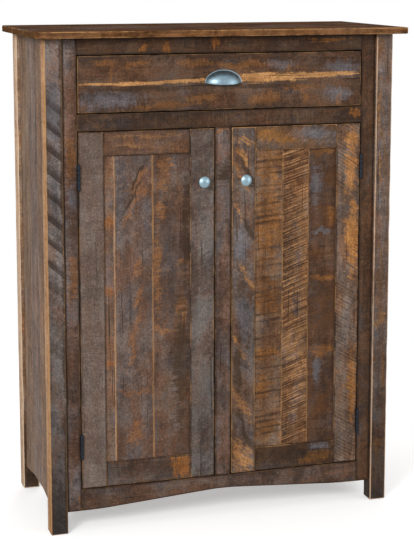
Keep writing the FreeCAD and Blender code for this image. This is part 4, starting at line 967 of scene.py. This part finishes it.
# %% The knobs
KNOB_OUTLINE = [(0, 0), (7.2, 0), (8, 0.4), (8, 1.2), (7.2, 1.7), (5.7, 2.4), (5.5, 5),
                (5.6, 8.5), (6.6, 11.5), (9.2, 14.6), (13, 17.4), (14.6, 18.6), (15, 19.2),
                (14.9, 19.9), (14.3, 20.7), (12.5, 22.2), (9.4, 24.1), (5.2, 25.6), (0, 26)]
SAME_PLACE = 0.01 * MM
door_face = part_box("left_door_knob_stile")[0].y
for side in ("left", "right"):
    low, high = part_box(side + "_door_knob")
    middle = (low + high) / 2
    knob = bmesh.new()
    points = [knob.verts.new((middle.x + radius * MM, door_face - reach * MM, middle.z))
              for radius, reach in KNOB_OUTLINE]
    edges = [knob.edges.new(pair) for pair in zip(points, points[1:])]
    bmesh.ops.spin(knob, geom=points + edges, cent=(middle.x, door_face, middle.z),
                   axis=(0, 1, 0), angle=2 * math.pi, steps=48, use_merge=True)
    bmesh.ops.remove_doubles(knob, verts=knob.verts, dist=SAME_PLACE)
    bmesh.ops.recalc_face_normals(knob, faces=knob.faces)
    piece = new_piece(side + "_knob_turned", knob, side + "_door_knob")
    piece.data.materials.append(STEEL)
print("knob reach", round((door_face - low.y) / MM, 1), "mm")

# %% [markdown]
# The pull is a half bowl pressed from sheet, with a thin flange that lies on the drawer and a
# mouth that is open below for the fingers. A squashed ball is sunk a third into the drawer's
# face, so that its wall leans, and is cut there and at the mouth. Its back edge is drawn out
# into the flange, and the shell then gets its thickness.

# %% The cup pull
PULL_FLANGE = 1.8 * MM
PULL_DROP = 3.5 * MM
PULL_CUT = 0.35
PULL_SHEET = 1.5 * MM
FLANGE_LIFT = 0.5 * MM
low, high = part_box("cup_pull")
middle_x = (low.x + high.x) / 2
mouth = low.z + PULL_DROP
half_width = (high.x - low.x) / 2 - PULL_FLANGE
reach = high.y - low.y
rise = high.z - mouth - PULL_FLANGE
spread = math.sqrt(1 - PULL_CUT ** 2)
depth = reach / (1 - PULL_CUT)
cup = bmesh.new()
bmesh.ops.create_uvsphere(cup, u_segments=72, v_segments=36, radius=1)
bmesh.ops.scale(cup, vec=(half_width / spread, depth, rise / spread), verts=cup.verts)
bmesh.ops.translate(cup, vec=(0, PULL_CUT * depth, 0), verts=cup.verts)
for place, away in (((0, -FLANGE_LIFT, 0), (0, 1, 0)), ((0, 0, 0), (0, PULL_DROP, -reach))):
    bmesh.ops.bisect_plane(cup, geom=cup.verts[:] + cup.edges[:] + cup.faces[:],
                           plane_co=place, plane_no=away, clear_outer=True)
back = [e for e in cup.edges
        if e.is_boundary and min(v.co.y for v in e.verts) > -1.2 * FLANGE_LIFT]
drawn = bmesh.ops.extrude_edge_only(cup, edges=back)["geom"]
outer = [v for v in drawn if isinstance(v, bmesh.types.BMVert)]
bmesh.ops.scale(cup, vec=(1 + PULL_FLANGE / half_width, 1, 1 + PULL_FLANGE / rise), verts=outer)
bmesh.ops.translate(cup, vec=(middle_x, high.y, mouth), verts=cup.verts)
bmesh.ops.recalc_face_normals(cup, faces=cup.faces)
pull = new_piece("cup_pull_pressed", cup, "cup_pull")
pull.data.materials.append(PULL_STEEL_SHADED)
sheet = pull.modifiers.new("sheet", "SOLIDIFY")
sheet.thickness = PULL_SHEET
sheet.offset = -1
lips = pull.modifiers.new("lips", "BEVEL")
lips.width = PULL_SHEET / 3
lips.segments = 2
print("pull", round(half_width * 2 / MM), "mm inside its flange")

# %% [markdown]
# Each hinge has a leaf on the frame with three knuckles, a leaf on the door with two, and a pin
# with a rounded button at each end. The ends of the knuckles are chamfered, so the joints
# between them show as fine grooves. Oval screw heads sit on the leaves, seen when a door is open.

# %% Parts of a hinge
KNUCKLE_RADIUS = 4
LEAF_DEPTH = 17
LEAF_THICK = 1
LEAF_OFF = 0.25
HINGE_TALL = 64
KNUCKLE_GAP = 0.3
KNUCKLE_TALL = (HINGE_TALL - 4 * KNUCKLE_GAP) / 5
PIN_X = 375.75
PIN_Y = -185.8
LEAF_FRONT = -181.5
HINGE_BOTTOMS = (191.5, 878.5)
SCREWS = ((0.18, 6), (0.5, 11.5), (0.82, 6))
SCREW_RADIUS = 3.3
SCREW_STEPS = ((0.3, 0.1), (0.9, 0.07), (0.7, 0.03), (0.7, 0))
SLOT_HALF = 0.32
SLOT_REACH = 2.2
SLOT_DEPTH = 0.16


def turned(shape, outline, x, y, closed=False):
    """Spins an outline of (radius, height) in mm round an upright line."""
    points = [shape.verts.new(((x + radius) * MM, y * MM, height * MM))
              for radius, height in outline]
    pairs = list(zip(points, points[1:])) + ([(points[-1], points[0])] if closed else [])
    edges = [shape.edges.new(pair) for pair in pairs]
    bmesh.ops.spin(shape, geom=points + edges, cent=(x * MM, y * MM, 0), axis=(0, 0, 1),
                   angle=2 * math.pi, steps=32, use_merge=True)


def block(shape, low, high):
    """Adds a sharp-cut plate between two corners in mm."""
    made = bmesh.ops.create_cube(shape, size=1)["verts"]
    low = Vector(low)
    high = Vector(high)
    bmesh.ops.scale(shape, vec=(high - low) * MM, verts=made)
    bmesh.ops.translate(shape, vec=(low + high) / 2 * MM, verts=made)


def screw_head(shape, x, y, z, out):
    """An oval head with a cross slot, on a face that looks along x (out is 1 or -1)."""
    place = Vector((x, y, z)) * MM
    turn = Matrix.Translation(place) @ Matrix.Rotation(out * math.pi / 2, 4, "Y")
    ring = bmesh.ops.create_circle(shape, cap_ends=True, segments=32, matrix=turn,
                                   radius=SCREW_RADIUS * MM)["verts"]
    face = ring[0].link_faces[0]
    face.normal_update()
    head = set()
    for inward, upward in SCREW_STEPS:
        step = bmesh.ops.inset_region(shape, faces=[face], thickness=inward * MM,
                                      depth=upward * MM, use_boundary=True)["faces"]
        head.update(vert for part in step for vert in part.verts)
    for vert in head:
        off = [abs(value) / MM for value in (vert.co - place)[1:]]
        if min(off) < SLOT_HALF and math.hypot(*off) < SLOT_REACH:
            vert.co.x -= out * SLOT_DEPTH * MM


# %% [markdown]
# The leaves lie in the gap between frame and door, half a millimetre apart when it is shut.
# Three screws hold each leaf, the middle one further in than the others.


# %% The hinges
def leaf(shape, side, bottom, on_door):
    """One leaf with its knuckles: side is -1 for the left door and 1 for the right."""
    away = -1 if on_door else 1
    gap_face = side * (PIN_X + away * LEAF_OFF)
    back_face = side * (PIN_X + away * (LEAF_OFF + LEAF_THICK))
    left, right = sorted((gap_face, back_face))
    block(shape, (left, LEAF_FRONT, bottom), (right, LEAF_FRONT + LEAF_DEPTH, bottom + HINGE_TALL))
    for count in ((1, 3) if on_door else (0, 2, 4)):
        low = bottom + count * (KNUCKLE_TALL + KNUCKLE_GAP)
        high = low + KNUCKLE_TALL
        block(shape, (left, PIN_Y + 3, low), (right, LEAF_FRONT, high))
        outline = [(2.15, low + 0.3), (2.4, low), (3.5, low), (KNUCKLE_RADIUS, low + 0.6),
                   (KNUCKLE_RADIUS, high - 0.6), (3.5, high), (2.4, high), (2.15, high - 0.3)]
        turned(shape, outline, side * PIN_X, PIN_Y, closed=True)
    for share, depth in SCREWS:
        screw_head(shape, gap_face, LEAF_FRONT + depth, bottom + HINGE_TALL * share,
                   -side * away)


def finish_hinge(name, shape, node):
    """Closes a hinge part with smooth knuckles and sharp cuts, in blackened steel."""
    bmesh.ops.recalc_face_normals(shape, faces=shape.faces)
    piece = new_piece(name, shape, node)
    piece.data.set_sharp_from_angle(angle=math.radians(30))
    piece.data.materials.append(HINGE_STEEL)


PIN_END = [(0, 1), (1.2, 0.9), (2.2, 0.6), (2.6, 0.15), (2, 0)]
frame_leaves = bmesh.new()
pins = bmesh.new()
for name, side in (("left", -1), ("right", 1)):
    door_leaves = bmesh.new()
    for bottom in HINGE_BOTTOMS:
        leaf(frame_leaves, side, bottom, False)
        leaf(door_leaves, side, bottom, True)
        top = bottom + HINGE_TALL
        outline = [(radius, bottom - past) for radius, past in PIN_END]
        outline += [(radius, top + past) for radius, past in reversed(PIN_END)]
        turned(pins, outline, side * PIN_X, PIN_Y)
    finish_hinge(name + "_hinge_leaves_bent", door_leaves, name + "_door_hinge_leaves")
finish_hinge("hinge_frame_leaves_bent", frame_leaves, "hinge_frame_leaves")
finish_hinge("hinge_pins_headed", pins, "hinge_pins")
low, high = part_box("hinge_pins")
print("pins from", round(low.z / MM, 1), "to", round(high.z / MM, 1), "mm")

# %% [markdown]
# The slides, the catches, the shelves and the inside boards keep their CAD solids, whose shapes
# are right. They only need the finish of what they are.

# %% Finishes for the CAD solids
nodes = frame["nodes"]


def paint(node, material):
    """Puts one material on a CAD node."""
    nodes[node].data.materials.clear()
    nodes[node].data.materials.append(material)


zinc_plated = [node for node in nodes if SLOT_OF[node] == "zinc_steel"] + ["pull_screws"]
for node in zinc_plated:
    paint(node, ZINC)
print("zinc plated:", len(zinc_plated), "nodes")

# %% [markdown]
# Inside, the boards are planed pine that was sealed clear: warmer and plainer than outside.

# %% Inside boards
PLANED = dict(kerf=0.2, scratch=0.1, warm=0.1, cool=0.0, edge=0.1, grime=0.06)
INSIDE = dict(
    tones=("#8a6a4c", "#5c432e", "#a3845f"), rough=0.55, bump=0.5, contrast=0.8, cracks=0.5,
    bands=("#947453", "#7a5b3f", 0.2), **PLANED)
PALE = dict(
    tones=("#c39c6c", "#9a744a", "#d3b284"), rough=0.5, bump=0.3, contrast=0.5, cracks=0.1,
    bands=("#c9a475", "#b8905f", 0.1), **PLANED)
PLY = dict(
    tones=("#b98f63", "#8f6844", "#c9a57c"), rough=0.5, bump=0.3, contrast=0.7, streaks=2.2,
    cracks=0.1, bands=("#c29a6d", "#a97e53", 0.1), **PLANED)
INSIDE_AXES = {
    "back_panel": UPRIGHT,
    "back_rail_top": LEVEL,
    "cabinet_floor": FLAT,
    "floor_cleats": (Y, X, Z),
    "drawer_deck": FLAT,
    "drawer_rail_left": (Y, Z, X),
    "drawer_rail_right": (Y, Z, X),
    "shelf_lower": FLAT,
    "shelf_upper": FLAT,
    "drawer_side_left": (Y, Z, X),
    "drawer_side_right": (Y, Z, X),
    "drawer_box_front": LEVEL,
    "drawer_back": LEVEL,
    "drawer_bottom": FLAT,
}
for count, (node, axes) in enumerate(INSIDE_AXES.items()):
    finish = {"inside_barnwood": INSIDE, "drawer_wood": PALE, "plywood": PLY}[SLOT_OF[node]]
    low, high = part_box(node)
    paint(node, barnwood("sealed_pine_" + node, low, high, axes, 61.3 + 1.9 * count, **finish))
print("inside boards", len(INSIDE_AXES))

# %% [markdown]
# The cases of the magnetic catches are brown moulded plastic with a faint grained skin.


# %% Brown plastic
def moulded_plastic(name, colour):
    """ABS, moulded: even colour, soft gloss, fine grained skin."""
    material = new_material(name)
    tree = material.node_tree
    here = add(tree, "TexCoord").node.outputs["Object"]
    grain = add(tree, "TexNoise", {"Vector": here, "Scale": 1 / (0.8 * MM), "Detail": 3.0})
    rough = add(tree, "MapRange", {"Value": grain, **span(0.0, 1.0, 0.42, 0.58)})
    relief = add(tree, "Bump", {"Strength": 0.4, "Distance": 0.1 * MM, "Height": grain})
    shell = add(tree, "BsdfPrincipled", {"Base Color": colour, "Roughness": rough,
                                         "Normal": relief})
    add(tree, "OutputMaterial", {"Surface": shell})
    return material


paint("door_catches", moulded_plastic("brown_abs", "#4a3324"))
print("materials", len(bpy.data.materials))

# %% [markdown]
# The studio is a pale floor that fades into a white surround, under an even sky. Both are white
# only where the camera or a reflection sees them, so that they don't light the wood too much.

# %% Floor and surround
FLOOR_RADIUS = 14
FADE_START, FADE_END = 0.75, 1.9
SKY_LEVEL = 0.47
floor_shape = bmesh.new()
bmesh.ops.create_circle(floor_shape, cap_ends=True, segments=96, radius=FLOOR_RADIUS)
floor_mesh = bpy.data.meshes.new("studio_floor")
floor_shape.to_mesh(floor_mesh)
floor_shape.free()
floor = bpy.data.objects.new("studio_floor", floor_mesh)
bpy.context.scene.collection.objects.link(floor)


def seen_directly(tree):
    """1 for rays from the camera and for reflections, and the other kinds of ray."""
    rays = add(tree, "LightPath").node.outputs
    return add(tree, "Math", {0: rays["Is Camera Ray"], 1: rays["Is Glossy Ray"]},
               operation="MAXIMUM"), rays


paper = new_material("white_paper")
tree = paper.node_tree
direct, rays = seen_directly(tree)
matt = add(tree, "BsdfDiffuse", {"Color": "#f4f4f4"})
bounce = add(tree, "BsdfDiffuse", {"Color": "#8f8d8a"})
lift = add(tree, "Emission", {"Color": "#ffffff", "Strength": 0.4})
near = add(tree, "AddShader", {0: matt, 1: lift})
white = add(tree, "Emission", {"Color": "#ffffff", "Strength": 1.0})
here = add(tree, "TexCoord").node.outputs["Object"]
away = add(tree, "VectorMath", {0: here}, operation="LENGTH").node.outputs["Value"]
away = add(tree, "MapRange", {"Value": away, **span(FADE_START, FADE_END)},
           interpolation_type="SMOOTHSTEP")
seen = add(tree, "MixShader", {0: away, 1: near, 2: white})
mixed = add(tree, "MixShader", {0: direct, 1: bounce, 2: seen})
add(tree, "OutputMaterial", {"Surface": mixed})
floor_mesh.materials.append(paper)

world = bpy.data.worlds.new("studio")
world.use_nodes = True
tree = world.node_tree
tree.nodes.clear()
direct, rays = seen_directly(tree)
direct = add(tree, "Math", {0: direct, 1: rays["Is Transmission Ray"]}, operation="MAXIMUM")
power = add(tree, "MapRange", {"Value": direct, **span(0.0, 1.0, SKY_LEVEL)})
sky = add(tree, "Background", {"Color": "#ffffff", "Strength": power})
add(tree, "OutputWorld", {"Surface": sky})
bpy.context.scene.world = world
print("floor", 2 * FLOOR_RADIUS, "m across")

# %% [markdown]
# Three round soft boxes: the key at the front left, as the shine on the knobs shows, a weaker
# fill at the right, and one behind that keeps the back from going dark in other views.


# %% Lamps
def soft_lamp(name, place, aim, size, watts):
    """A round soft box size metres across, at a place and turned to look at a point."""
    data = bpy.data.lights.new(name, "AREA")
    data.shape = "DISK"
    data.size = size
    data.energy = watts
    lamp = bpy.data.objects.new(name, data)
    place = Vector(place)
    lamp.matrix_world = (Matrix.Translation(place)
                         @ (Vector(aim) - place).to_track_quat("-Z", "Y").to_matrix().to_4x4())
    bpy.context.scene.collection.objects.link(lamp)


soft_lamp("key", (-2.7, -3.2, 2.3), (0, 0, 0.7), 1.5, 120)
soft_lamp("fill", (3.0, -2.8, 1.3), (0, 0, 0.6), 2.4, 38)
soft_lamp("back", (1.2, 3.6, 2.2), (0, 0, 0.7), 2.4, 60)
bpy.context.scene.view_settings.view_transform = "Standard"
